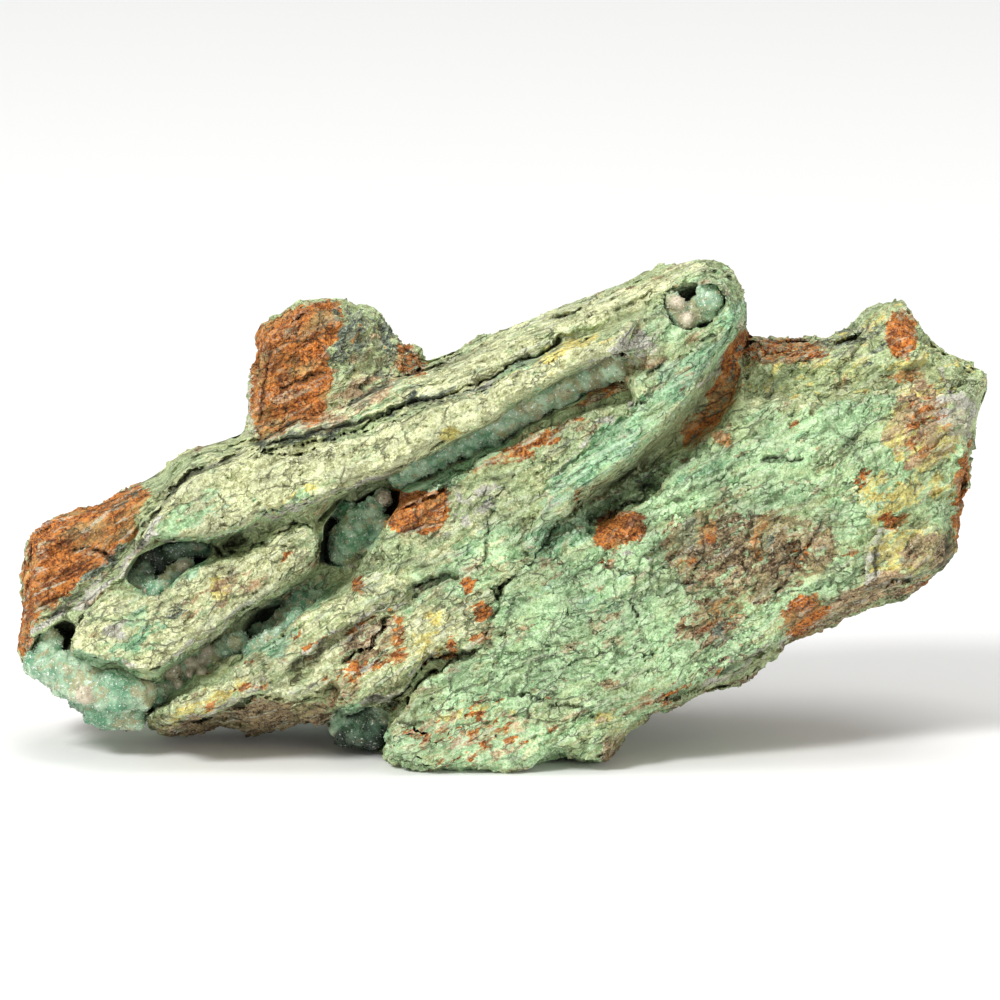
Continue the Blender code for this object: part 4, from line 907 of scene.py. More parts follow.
def keep_largest_body(piece):
    """Drops the crumbs that a remesh left loose."""
    whole = bmesh.new()
    whole.from_mesh(piece.data)
    waiting = set(whole.verts)
    bodies = []
    while waiting:
        body = {waiting.pop()}
        edge_of_body = set(body)
        while edge_of_body:
            reached = {edge.other_vert(vert) for vert in edge_of_body for edge in vert.link_edges}
            edge_of_body = reached - body
            body |= edge_of_body
        waiting -= body
        bodies.append(body)
    bodies.sort(key=len)
    bmesh.ops.delete(whole, geom=[vert for body in bodies[:-1] for vert in body], context="VERTS")
    whole.to_mesh(piece.data)
    whole.free()


def standing():
    """The move that tips the lying stone up onto its foot."""
    return Matrix.Translation(STANDS_AT) @ Matrix.Rotation(math.radians(90 - LEAN_BACK), 4, "X")


def node_copy(name, piece_name):
    """A copy of a node's mesh with its loose triangles joined, lying face up."""
    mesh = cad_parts[name].data.copy()
    joined = bmesh.new()
    joined.from_mesh(mesh)
    bmesh.ops.remove_doubles(joined, verts=joined.verts, dist=1e-6)
    joined.to_mesh(mesh)
    joined.free()
    mesh.transform(standing().inverted())
    mesh.materials.clear()
    return new_piece(piece_name, mesh)


def keep_in_box(mesh):
    """Holds the standing piece inside the box of the solids."""
    low = np.array(CAD_BOX[0]) + BOX_MARGIN
    high = np.array(CAD_BOX[1]) - BOX_MARGIN
    low[2] = CAD_BOX[0][2]
    move_vertices(mesh, np.clip(vertices_of(mesh), low, high))


def room_in_box(points):
    """How far each point of the lying stone is from the sides of the box that it stands in."""
    move = np.array(standing())
    upright = points @ move[:3, :3].T + move[:3, 3]
    return np.minimum(upright - np.array(CAD_BOX[0]), np.array(CAD_BOX[1]) - upright).min(axis=1)


def drape_front(mesh, settings):
    """Lifts and lowers the front onto its weathered surface and leaves the hollows as they are."""
    points = vertices_of(mesh)
    facing = normals_of(mesh)[:, 2]
    ahead = np.flatnonzero(facing > settings.least_facing)
    x, y, z = points[ahead].T
    target = front_surface(x, y, settings)
    share = smooth_step(facing[ahead], settings.least_facing, 0.5)
    share = share * smooth_step(settings.reach - np.abs(target - z), 0, 0.0015)
    points[ahead, 2] = z + (target - z) * share
    move_vertices(mesh, points)


def plate_values(x, y, key):
    """A value of the plates, such as how crumbly they are, at each point."""
    values = np.zeros(len(x))
    for plate in PLATES.values():
        near = around(x, y, plate["outline"], 0.001)
        share = smooth_step(inside_distance(x[near], y[near], plate["outline"]), -0.0007, 0.0007)
        values[near] += (plate.get(key, 0) - values[near]) * share
    return values


def bed_coordinates(points):
    """Distance along, across and behind the beds, which wave a little."""
    along, across = turned(points[:, 0], points[:, 1], BEDDING_ANGLE)
    return np.column_stack([along, across + 0.0016 * layered_noise(points, 0.022, 2, 23), points[:, 2]])


def crumble(mesh, settings):
    """Breaks the surface into chips, facets and crumbs, more strongly on the sides and back."""
    points = vertices_of(mesh)
    normals = normals_of(mesh)
    behind = 1 - front_share(points, *IN_FRONT)
    loose = plate_values(points[:, 0], points[:, 1], "crumbs") / 0.0003 * (1 - behind) + behind
    beds = bed_coordinates(points) / (2.0, 1, 1)
    chips = facets(beds, 0.0040, 61) * (0.0009 * loose + 0.0006 * behind)
    flakes = facets(beds, 0.0018, 71) * (0.0006 * loose)
    crumbs = facets(points, 0.0009, 75) * 0.00030
    crumbs = crumbs + layered_noise(points, 0.0013, 2, 81) * settings.crumb_height
    move_vertices(mesh, points + normals * (chips + flakes + crumbs * (0.4 + 0.6 * loose))[:, None])


def front_share(points, low, high):
    """1 in front of the rim and 0 behind it."""
    return smooth_step(points[:, 2] - rim_height(points[:, 0], points[:, 1]), low, high)


def within(amount, edge):
    """A mask that is a half on the edge of a place, rising over a millimetre or so."""
    return np.clip(0.5 + amount / (2 * edge), 0, 1)


def front_minerals(x, y):
    """How much of each mineral shows at each point of the front."""
    bent_x, bent_y = bent(x, y, EDGE_WANDER, WANDER_SIZE, 3)
    ragged_x, ragged_y = bent(bent_x, bent_y, 0.0007, 0.0028, 53)
    soft = 0.0009
    found = {name: np.zeros(len(x)) for name in MINERALS}
    for plate in PLATES.values():
        near = around(ragged_x, ragged_y, plate["outline"], soft)
        share = within(inside_distance(ragged_x[near], ragged_y[near], plate["outline"]), soft)
        for name in MINERALS:
            own = plate["cover"] if name == plate["mineral"] else 0
            found[name][near] += (own - found[name][near]) * share
    for name, ovals in OVALS.items():
        for column, row, length, width, angle, cover in ovals:
            px, py = on_face(column, row)
            turn = math.radians(angle)
            along = (ragged_x - px) * math.cos(turn) + (ragged_y - py) * math.sin(turn)
            across = -(ragged_x - px) * math.sin(turn) + (ragged_y - py) * math.cos(turn)
            apart = np.hypot(along / (length * GRID), across / (width * GRID))
            share = within((1 - apart) * min(length, width) * GRID, soft)
            found[name] = np.maximum(found[name], share * cover)
    for name, streaks in STREAKS.items():
        for path, width, cover in streaks:
            share = within(width * GRID - path_distance(ragged_x, ragged_y, path), soft)
            found[name] = np.maximum(found[name], share * cover)
    for path, _, width in RIDGES:
        share = within(width * GRID - path_distance(ragged_x, ragged_y, path), soft / 2)
        found["chalk"] = np.maximum(found["chalk"], share * RIDGE_CHALK)
    for name, areas in AREAS.items():
        for cover, outline in areas:
            share = within(inside_distance(ragged_x, ragged_y, outline), soft)
            found[name] = np.maximum(found[name], share * cover)
    return found


def back_minerals(points):
    """How much of each mineral shows at each point of the sides and back."""
    turn = math.radians(BEDDING_ANGLE)
    beds = np.column_stack([
        (points[:, 0] * math.cos(turn) + points[:, 1] * math.sin(turn)) / 2.2,
        -points[:, 0] * math.sin(turn) + points[:, 1] * math.cos(turn),
        points[:, 2] / 1.4,
    ])
    shares = {
        "rust": (0.42, 0.75, 0.020, 7),
        "umber": (0.46, 0.60, 0.015, 17),
        "slate": (0.26, 0.60, 0.011, 27),
        "cream": (0.42, 0.60, 0.013, 37),
        "mint": (0.28, 0.60, 0.016, 47),
        "yellow": (0.22, 0.55, 0.010, 57),
        "chalk": (0.14, 0.50, 0.007, 67),
        "teal": (0.06, 0.60, 0.012, 77),
        "tan": (0.34, 0.60, 0.014, 87),
    }
    return {
        name: np.clip(mean + spread * layered_noise(beds, size, 3, seed), 0, 0.95)
        for name, (mean, spread, size, seed) in shares.items()
    }


def crack_shade(x, y):
    """How strongly painted shade darkens the cracks and slits at each point."""
    bent_x, bent_y = bent(x, y, EDGE_WANDER, WANDER_SIZE, 3)
    ragged_x, ragged_y = bent(bent_x, bent_y, FINE_WANDER, FINE_WANDER_SIZE, 43)
    shade = np.zeros(len(x))
    for path, depth, width in CRACKS:
        reach = CRACK_NARROWING * width * GRID
        near = around(ragged_x, ragged_y, path, 3 * reach)
        apart = path_distance(ragged_x[near], ragged_y[near], path)
        strength = min(0.9, depth / 0.0016)
        shade[near] = np.maximum(shade[near], strength * np.exp(-((apart / reach) ** 2)))
    return shade


def paint(mesh, settings):
    """Stores the minerals, and the painted shade of cracks and deep recesses, on the lying stone, three to an
    attribute.
    """
    points = vertices_of(mesh)
    x, y = points[:, 0], points[:, 1]
    ahead = front_share(points, *COLOURED_FROM)
    front = front_minerals(x, y)
    back = back_minerals(points)
    found = {name: back[name] + (front[name] - back[name]) * ahead for name in MINERALS}
    plain = brought_down(x, y, front_height(x, y), SOLID_ROUNDING)
    # Painted shade: where the front lies deep below the plain front, in hollows and recesses, it is darkened
    # along with the cracks
    sunk = smooth_step(plain - points[:, 2], 0.0028, 0.0060) * front_share(points, *IN_FRONT)
    found["crack"] = np.maximum(crack_shade(x, y) * front_share(points, *IN_FRONT), 0.92 * sunk)
    for number, names in enumerate(MASKS, start=1):
        colours = np.ones((len(points), 4), np.float32)
        for channel, name in enumerate(names):
            colours[:, channel] = found[name]
        layer = mesh.attributes.new(f"minerals {number}", "FLOAT_COLOR", "POINT")
        layer.data.foreach_set("color", colours.ravel())
    laminated = plate_values(x, y, "laminae") / 0.0003
    behind = 1 - front_share(points, *IN_FRONT)
    crumbly = plate_values(x, y, "crumbs") / 0.0003 * (1 - behind) + BACK_CRUMBS * behind
    beds = mesh.attributes.new("beds", "FLOAT_VECTOR", "POINT")
    beds.data.foreach_set("vector", bed_coordinates(points).astype(np.float32).ravel())
    for label, values in (
        ("layered", laminated * ahead + 0.6 * (1 - ahead)),
        ("crumbly", crumbly * (1 - sunk) * smooth_step(room_in_box(points), 0.0004, 0.0010)),
    ):
        layer = mesh.attributes.new(label, "FLOAT", "POINT")
        layer.data.foreach_set("value", values.astype(np.float32))


def grains_of(runs):
    """Every grain of a crust as a middle and a radius."""
    grains = []
    for (*first, first_radius), (*last, last_radius), count in runs:
        for i in range(count):
            share = i / (count - 1)
            column, row, sink = (a + (b - a) * share for a, b in zip(first, last))
            radius = millimetres(first_radius + (last_radius - first_radius) * share)
            x, y = on_face(column, row)
            height = front_height(np.array([x]), np.array([y]))[0]
            grains.append((Vector((x, y, height - millimetres(sink))), radius))
    return grains


def nodules_of(name):
    """Every nodule of a crust as a middle and a radius."""
    nodules = grains_of([(nodule, nodule, 2) for nodule in NODULES.get(name, [])])[::2]
    return [(middle + Vector((0, 0, LIFTED.get(name, 0))), radius) for middle, radius in nodules]


def knobbly_mesh(name, runs, settings, seed):
    """The grains of a crust, each with smaller knobs grown on it, and the crust's nodules."""
    chance = np.random.default_rng(seed)
    balls = bmesh.new()
    for middle, radius in grains_of(runs):
        radius += DRUSE_GROWTH
        middle.z += LIFTED.get(name, 0)
        bmesh.ops.create_icosphere(balls, subdivisions=3, radius=radius, matrix=Matrix.Translation(middle))
        for _ in range(settings.knobs):
            away = Vector(chance.normal(size=3)).normalized()
            size = radius * settings.knob_size * chance.uniform(0.7, 1.3)
            place = Matrix.Translation(middle + away * (radius - 0.45 * size))
            bmesh.ops.create_icosphere(balls, subdivisions=2, radius=size, matrix=place)
    for middle, radius in nodules_of(name):
        bmesh.ops.create_icosphere(balls, subdivisions=3, radius=radius, matrix=Matrix.Translation(middle))
    mesh = bpy.data.meshes.new("crust of " + name)
    balls.to_mesh(mesh)
    balls.free()
    return mesh


def mark_druse(mesh, name):
    """Stores where the nodules are, and how much painted shade darkens each point by how deep it lies in its
    hollow.
    """
    points = vertices_of(mesh)
    tan = np.zeros(len(points))
    for middle, radius in nodules_of(name):
        apart = np.linalg.norm(points - np.array(middle), axis=1)
        tan = np.maximum(tan, smooth_step(radius * 1.12 - apart, -0.0001, 0.0001))
    depth = front_height(points[:, 0], points[:, 1]) - points[:, 2] - LIFTED.get(name, 0)
    for label, values in (("nodules", tan), ("hollow_shade", 0.92 * smooth_step(depth, *HOLLOW_SHADE_DEPTHS))):
        layer = mesh.attributes.new(label, "FLOAT", "POINT")
        layer.data.foreach_set("value", values.astype(np.float32))


def node(tree, kind, inputs=None, **settings):
    """A node with its settings made, and its inputs set to values or linked to the outputs of other nodes."""
    made = tree.nodes.new(kind)
    for name, value in settings.items():
        setattr(made, name, value)
    for name, value in (inputs or {}).items():
        if isinstance(value, bpy.types.NodeSocket):
            tree.links.new(value, made.inputs[name])
        else:
            made.inputs[name].default_value = value
    return made


def group(name, inputs, outputs):
    """An empty shader node group that puts out values, with its input and output nodes."""
    tree = bpy.data.node_groups.new(name, "ShaderNodeTree")
    for label, kind, default in inputs:
        socket = tree.interface.new_socket(label, in_out="INPUT", socket_type=kind)
        if default is not None:
            socket.default_value = default
    for label in outputs:
        tree.interface.new_socket(label, in_out="OUTPUT", socket_type="NodeSocketFloat")
    return tree, tree.nodes.new("NodeGroupInput"), tree.nodes.new("NodeGroupOutput")


def maths(tree, operation, first, second=0.0):
    return node(tree, "ShaderNodeMath", {0: first, 1: second}, operation=operation).outputs[0]


def times(tree, first, second):
    return maths(tree, "MULTIPLY", first, second)


def blended(tree, share, first, second, blend="MIX"):
    mix = node(tree, "ShaderNodeMix", data_type="RGBA", blend_type=blend)
    for index, value in ((0, share), (6, first), (7, second)):
        if isinstance(value, bpy.types.NodeSocket):
            tree.links.new(value, mix.inputs[index])
        else:
            mix.inputs[index].default_value = value
    return mix.outputs[2]


def noise(tree, vector, size, detail=2.0, roughness=0.5):
    inputs = {"Vector": vector, "Scale": 1 / size, "Detail": detail, "Roughness": roughness}
    return node(tree, "ShaderNodeTexNoise", inputs).outputs["Fac"]


def shifted(tree, vector, amount):
    return node(tree, "ShaderNodeVectorMath", {0: vector, 1: amount}).outputs[0]


def stretched(tree, vector, factors):
    return node(tree, "ShaderNodeVectorMath", {0: vector, 1: factors}, operation="MULTIPLY").outputs[0]


def mapped(tree, value, low, high, to_low=0.0, to_high=1.0):
    inputs = {"Value": value, "From Min": low, "From Max": high, "To Min": to_low, "To Max": to_high}
    return node(tree, "ShaderNodeMapRange", inputs, clamp=True).outputs["Result"]


def patches(tree, vector, offset, size, detail, roughness, low, high, most=1.0):
    """Scattered patches: nothing where the noise is below the low value, and the most above the high one."""
    found = noise(tree, shifted(tree, vector, offset), size, detail, roughness)
    return mapped(tree, found, low, high, 0.0, most)


def rock_grain_group():
    """Fine, medium and broad unevenness of a rock, its pale specks, which stand partly for pale grain and partly
    for painted highlights, and its dark specks.
    """
    name = "Rock Grain"
    if name in bpy.data.node_groups:
        return bpy.data.node_groups[name]
    outputs = ("Fine", "Medium", "Broad", "Pale Specks and Highlights", "Dark Specks")
    tree, source, target = group(name, [("Vector", "NodeSocketVector", None)], outputs)
    vector = source.outputs["Vector"]
    cells = node(tree, "ShaderNodeTexVoronoi", {"Vector": vector, "Scale": 1 / 0.00034})
    tones = node(tree, "ShaderNodeSeparateColor", {"Color": cells.outputs["Color"]}).outputs["Red"]
    own = times(tree, tones, 0.36)
    fine = maths(tree, "ADD", own, times(tree, noise(tree, vector, 0.00034, 2, 0.7), 0.64))
    tree.links.new(fine, target.inputs["Fine"])
    tree.links.new(noise(tree, vector, 0.0018, 3, 0.65), target.inputs["Medium"])
    tree.links.new(noise(tree, vector, 0.0075, 3, 0.6), target.inputs["Broad"])
    pale = patches(tree, vector, (0.31, 0.17, 0.11), 0.00042, 2, 0.6, 0.62, 0.67)
    tree.links.new(pale, target.inputs["Pale Specks and Highlights"])
    dark = patches(tree, vector, (0.13, 0.41, 0.23), 0.00060, 3, 0.7, 0.62, 0.68)
    tree.links.new(dark, target.inputs["Dark Specks"])
    return tree


def crease_group():
    """Thin uneven creases between crumbly cells, large and small, that come and go."""
    name = "Creases"
    if name in bpy.data.node_groups:
        return bpy.data.node_groups[name]
    tree, source, target = group(name, [("Vector", "NodeSocketVector", None)], ("Creases",))
    vector = source.outputs["Vector"]
    swirl = node(tree, "ShaderNodeTexNoise", {"Vector": vector, "Scale": 1 / 0.0016, "Detail": 2.0})
    bent_vector = shifted(tree, vector, stretched(tree, swirl.outputs["Color"], (0.0016, 0.0016, 0.0016)))
    found = []
    for cell, width, low, high, offset in CREASES:
        cells = node(tree, "ShaderNodeTexVoronoi", {
            "Vector": shifted(tree, bent_vector, (offset, offset, offset)), "Scale": 1 / cell,
        }, feature="DISTANCE_TO_EDGE")
        line = mapped(tree, cells.outputs["Distance"], 0.0, width, 1.0, 0.0)
        where = mapped(tree, noise(tree, shifted(tree, vector, (offset, 0, 0)), 1.8 * cell), low, high)
        found.append(times(tree, line, where))
    tree.links.new(maths(tree, "MAXIMUM", *found), target.inputs["Creases"])
    return tree


def bed_line_group():
    """Thin lines along the beds: a tone for each bed, and pale and dark seams between some of them."""
    name = "Bed Lines"
    if name in bpy.data.node_groups:
        return bpy.data.node_groups[name]
    outputs = ("Tone", "Pale Seams", "Dark Seams")
    tree, source, target = group(name, [("Beds", "NodeSocketVector", None)], outputs)
    vector = stretched(tree, source.outputs["Beds"], (0.13, 1, 0.5))
    tree.links.new(noise(tree, vector, 0.0011, 3, 0.65), target.inputs["Tone"])
    pale = patches(tree, vector, (0.05, 0.27, 0.19), 0.0010, 2, 0.6, 0.585, 0.64)
    tree.links.new(pale, target.inputs["Pale Seams"])
    dark = patches(tree, vector, (0.33, 0.09, 0.15), 0.0013, 3, 0.65, 0.60, 0.655)
    tree.links.new(dark, target.inputs["Dark Seams"])
    return tree


def ragged_mask_group():
    """Turns a soft mask into a patch with a ragged edge, or into scattered spots where the mask is weak."""
    name = "Ragged Mask"
    if name in bpy.data.node_groups:
        return bpy.data.node_groups[name]
    inputs = [
        ("Vector", "NodeSocketVector", None),
        ("Mask", "NodeSocketFloat", 0.0),
        ("Offset", "NodeSocketVector", None),
        ("Size", "NodeSocketFloat", 1000.0),
    ]
    tree, source, target = group(name, inputs, ("Mask",))
    moved = node(tree, "ShaderNodeVectorMath", {0: source.outputs["Vector"], 1: source.outputs["Offset"]})
    ragged = node(tree, "ShaderNodeTexNoise", {
        "Vector": moved.outputs[0], "Scale": source.outputs["Size"], "Detail": 4.0, "Roughness": 0.65,
    })
    pushed = maths(tree, "MULTIPLY_ADD", ragged.outputs["Fac"], 2.1)
    pushed.node.inputs[2].default_value = -1.05
    total = maths(tree, "ADD", source.outputs["Mask"], pushed)
    present = mapped(tree, source.outputs["Mask"], 0.02, 0.12)
    tree.links.new(times(tree, mapped(tree, total, 0.44, 0.56), present), target.inputs["Mask"])
    return tree


def place_group(tree, group_tree, inputs):
    return node(tree, "ShaderNodeGroup", inputs, node_tree=group_tree)


def grained_material(name):
    """A new material, its node tree, its shader, and the rock grain placed in it."""
    material = bpy.data.materials.new(name)
    material.use_nodes = True
    tree = material.node_tree
    vector = node(tree, "ShaderNodeTexCoord").outputs["Object"]
    grain = place_group(tree, rock_grain_group(), {"Vector": vector})
    return material, tree, tree.nodes["Principled BSDF"], grain


def mineral_colours(tree, settings, masks, tone, vector):
    """The minerals laid over the plain rock, and how much of each shows."""
    colour = blended(tree, tone, (*settings.sage_dark, 1), (*settings.sage, 1))
    shown = {}
    for number, name in enumerate(MINERALS):
        light = (*getattr(settings, name), 1)
        dark = (*getattr(settings, name + "_dark"), 1)
        shown[name] = place_group(tree, ragged_mask_group(), {
            "Vector": vector,
            "Mask": masks[name],
            "Offset": (0.37 * number, 0.21 * number, 0.11 * number),
            "Size": 1 / (SMALL_PATCH if name in SMALL_PATCHED else LARGE_PATCH),
        }).outputs["Mask"]
        colour = blended(tree, shown[name], colour, blended(tree, tone, dark, light))
    return colour, shown


def creased_surface(tree, beds, colour, height):
    """Creases between the crumbs, in the height and as painted shade in the colour, with painted shade in the
    crevices and a painted highlight on the crests.
    """
    vector = stretched(tree, beds, (0.55, 1, 0.8))
    creases = place_group(tree, crease_group(), {"Vector": vector}).outputs["Creases"]
    # Painted shade darkens the creases
    colour = blended(tree, times(tree, creases, 0.45), colour, TINTS["crease"])
    height = maths(tree, "SUBTRACT", height, times(tree, creases, 0.8))
    pointiness = node(tree, "ShaderNodeNewGeometry").outputs["Pointiness"]
    # Painted shade in concave places, and a painted highlight on convex crests
    colour = blended(tree, mapped(tree, pointiness, 0.40, 0.49, 0.50, 0.0), colour, TINTS["crevice_shade"])
    colour = blended(tree, mapped(tree, pointiness, 0.53, 0.64, 0.0, 0.26), colour, TINTS["pale_grain_and_highlight"])
    return colour, height


def rock_material(name, settings, creased):
    """Weathered host rock with its minerals in two tones each, with specks that are partly painted highlights,
    painted shade in its cracks and recesses, and, if asked, creases.
    """
    material, tree, shader, grain = grained_material(name)
    masks = {}
    for number, names in enumerate(MASKS, start=1):
        layer = node(tree, "ShaderNodeAttribute", attribute_name=f"minerals {number}")
        parts = node(tree, "ShaderNodeSeparateColor", {"Color": layer.outputs["Color"]})
        masks.update(zip(names, parts.outputs))
    beds = node(tree, "ShaderNodeAttribute", attribute_name="beds").outputs["Vector"]
    layered = node(tree, "ShaderNodeAttribute", attribute_name="layered").outputs["Fac"]
    lines = place_group(tree, bed_line_group(), {"Beds": beds})
    along_beds = stretched(tree, beds, (0.42, 1, 0.8))
    lined = times(tree, maths(tree, "SUBTRACT", lines.outputs["Tone"], 0.5), layered)
    own_tone = node(tree, "ShaderNodeAttribute", attribute_name="own tone").outputs["Fac"]
    uneven = maths(tree, "ADD", maths(tree, "ADD", grain.outputs["Fine"], grain.outputs["Medium"]), lined)
    uneven = maths(tree, "ADD", uneven, times(tree, own_tone, 0.35))
    tone = mapped(tree, uneven, 0.80, 1.16)
    colour, shown = mineral_colours(tree, settings, masks, tone, along_beds)
    fibres = noise(tree, stretched(tree, beds, (0.10, 1, 0.5)), 0.0008, 2, 0.6)
    fibres = mapped(tree, fibres, 0.48, 0.60, 0.0, 0.6)
    colour = blended(tree, times(tree, fibres, shown["teal"]), colour, TINTS["fibre"])
    bare = maths(tree, "SUBTRACT", 1.0, shown["cream"])
    sallow = patches(tree, along_beds, (0.25, 0.05, 0.31), 0.0052, 3, 0.65, 0.50, 0.62, 0.35)
    colour = blended(tree, times(tree, sallow, bare), colour, TINTS["sallow"])
    rusty = patches(tree, along_beds, (0.09, 0.35, 0.27), 0.0030, 4, 0.7, 0.59, 0.64, 0.7)
    flecks = blended(tree, tone, (*settings.rust_dark, 1), (*settings.tan, 1))
    colour = blended(tree, times(tree, rusty, bare), colour, flecks)
    broad = mapped(tree, grain.outputs["Broad"], 0.34, 0.66, 0.76, 1.18)
    grey = node(tree, "ShaderNodeCombineColor", {"Red": broad, "Green": broad, "Blue": broad})
    colour = blended(tree, 1.0, colour, grey.outputs["Color"], "MULTIPLY")
    for seams in ("Pale Seams", "Dark Seams"):
        share = times(tree, times(tree, lines.outputs[seams], layered), 0.5)
        colour = blended(tree, share, colour, TINTS[seams])
    colour = blended(tree, times(tree, grain.outputs["Dark Specks"], 0.6), colour, TINTS["dark speck"])
    # Pale specks: part pale grain, part painted highlight
    unstained = maths(tree, "SUBTRACT", 0.5, times(tree, shown["rust"], 0.35))
    pale_specks_and_highlights = times(tree, grain.outputs["Pale Specks and Highlights"], unstained)
    colour = blended(tree, pale_specks_and_highlights, colour, TINTS["pale_grain_and_highlight"])
    height = maths(tree, "ADD", times(tree, grain.outputs["Fine"], 0.6), grain.outputs["Medium"])
    height = maths(tree, "ADD", height, lined)
    if creased:
        colour, height = creased_surface(tree, beds, colour, height)
    # Painted shade: cracks, slits and deep recesses darkened nearly to black
    colour = blended(tree, times(tree, masks["crack"], 0.88), colour, TINTS["crack"])
    tree.links.new(colour, shader.inputs["Base Color"])
    tree.links.new(mapped(tree, shown["teal"], 0, 1, 0.82, 0.45), shader.inputs["Roughness"])
    bump = node(tree, "ShaderNodeBump", {"Height": height, "Distance": 0.0011, "Strength": 0.9})
    tree.links.new(bump.outputs["Normal"], shader.inputs["Normal"])
    shader.inputs["Specular IOR Level"].default_value = 0.35
    return material


def druse_colour(tree, settings, grain):
    """Green druse, with a painted highlight on its crests, tan on its nodules, and painted shade in its crevices
    and deep in the hollows.
    """
    tone = mapped(tree, maths(tree, "ADD", grain.outputs["Broad"], grain.outputs["Medium"]), 0.84, 1.14)
    colour = blended(tree, tone, (*settings.deep, 1), (*settings.pale, 1))
    stained = maths(tree, "SUBTRACT", grain.outputs["Broad"], grain.outputs["Medium"])
    stained = mapped(tree, stained, 0.03, 0.12, 0.0, 0.75)
    colour = blended(tree, stained, colour, (*settings.stain, 1))
    pointiness = node(tree, "ShaderNodeNewGeometry").outputs["Pointiness"]
    # Painted highlight on the convex crests and painted shade in the concave crevices
    colour = blended(tree, mapped(tree, pointiness, 0.52, 0.62, 0.0, 0.5), colour, (*settings.crest, 1))
    colour = blended(tree, mapped(tree, pointiness, 0.40, 0.49, 0.7, 0.0), colour, TINTS["druse_crevice_shade"])
    nodules = node(tree, "ShaderNodeAttribute", attribute_name="nodules").outputs["Fac"]
    nodule_tone = blended(tree, tone, (*settings.nodule_dark, 1), (*settings.nodule, 1))
    colour = blended(tree, nodules, colour, nodule_tone)
    # Painted shade deep in the hollows
    hollow_shade = node(tree, "ShaderNodeAttribute", attribute_name="hollow_shade").outputs["Fac"]
    return blended(tree, hollow_shade, colour, TINTS["hollow_shade"])


def let_light_in(shader, weight, depth):
    """Lets green light pass a little way into the druse."""
    shader.inputs["Subsurface Weight"].default_value = weight
    shader.inputs["Subsurface Radius"].default_value = (0.6, 1.0, 0.8)
    shader.inputs["Subsurface Scale"].default_value = depth


def druse_material(settings):
    """Translucent green druse with an uneven, glistening skin and painted white glints."""
    material, tree, shader, grain = grained_material("Green Druse")
    colour = druse_colour(tree, settings, grain)
    # Painted glints: white specks standing for light glinting on the crystals
    colour = blended(tree, times(tree, grain.outputs["Pale Specks and Highlights"], 0.9), colour, TINTS["painted_glint"])
    tree.links.new(colour, shader.inputs["Base Color"])
    fine = grain.outputs["Fine"]
    tree.links.new(mapped(tree, fine, 0.3, 0.7, 0.12, 0.38), shader.inputs["Roughness"])
    bump = node(tree, "ShaderNodeBump", {"Height": fine, "Distance": 0.0003, "Strength": 0.5})
    tree.links.new(bump.outputs["Normal"], shader.inputs["Normal"])
    let_light_in(shader, 0.25, 0.0012)
    return material


def crystal_material(settings):
    """Clear to whitish crystal points."""
    material, tree, shader, grain = grained_material("Crystal Points")
    tree.links.new(druse_colour(tree, settings, grain), shader.inputs["Base Color"])
    tree.links.new(mapped(tree, grain.outputs["Fine"], 0.3, 0.7, 0.12, 0.35), shader.inputs["Roughness"])
    let_light_in(shader, 0.2, 0.0006)
    return material


def strewing_tree(name, sizes, finishes):
    """An empty tree that strews things over a mesh: its sizes, a seed and its finishes are its inputs."""
    tree = bpy.data.node_groups.new(name, "GeometryNodeTree")
    tree.interface.new_socket("Geometry", in_out="INPUT", socket_type="NodeSocketGeometry")
    for label, default in sizes:
        socket = tree.interface.new_socket(label, in_out="INPUT", socket_type="NodeSocketFloat")
        socket.default_value = default
    tree.interface.new_socket("Seed", in_out="INPUT", socket_type="NodeSocketInt").default_value = 1
    for label in finishes:
        tree.interface.new_socket(label, in_out="INPUT", socket_type="NodeSocketMaterial")
    tree.interface.new_socket("Geometry", in_out="OUTPUT", socket_type="NodeSocketGeometry")
    return tree, tree.nodes.new("NodeGroupInput").outputs, tree.nodes.new("NodeGroupOutput").inputs


def tilted(tree, source, rotation, turn=None):
    """The rotation, turned at random by up to the tilt; a turn, if given, is the most about its last axis."""
    back = times(tree, source["Tilt"], -1.0)
    least = node(tree, "ShaderNodeCombineXYZ", {0: back, 1: back, 2: 0.0 if turn else back})
    most = node(tree, "ShaderNodeCombineXYZ", {
        0: source["Tilt"], 1: source["Tilt"], 2: turn or source["Tilt"],
    })
    angles = node(tree, "FunctionNodeRandomValue", {"Seed": source["Seed"]}, data_type="FLOAT_VECTOR")
    tree.links.new(least.outputs[0], angles.inputs[0])
    tree.links.new(most.outputs[0], angles.inputs[1])
    turned_by = node(tree, "FunctionNodeEulerToRotation", {"Euler": angles.outputs[0]})
    return node(tree, "FunctionNodeRotateRotation", {
        "Rotation": rotation, "Rotate By": turned_by.outputs[0],
    }, rotation_space="LOCAL").outputs[0]


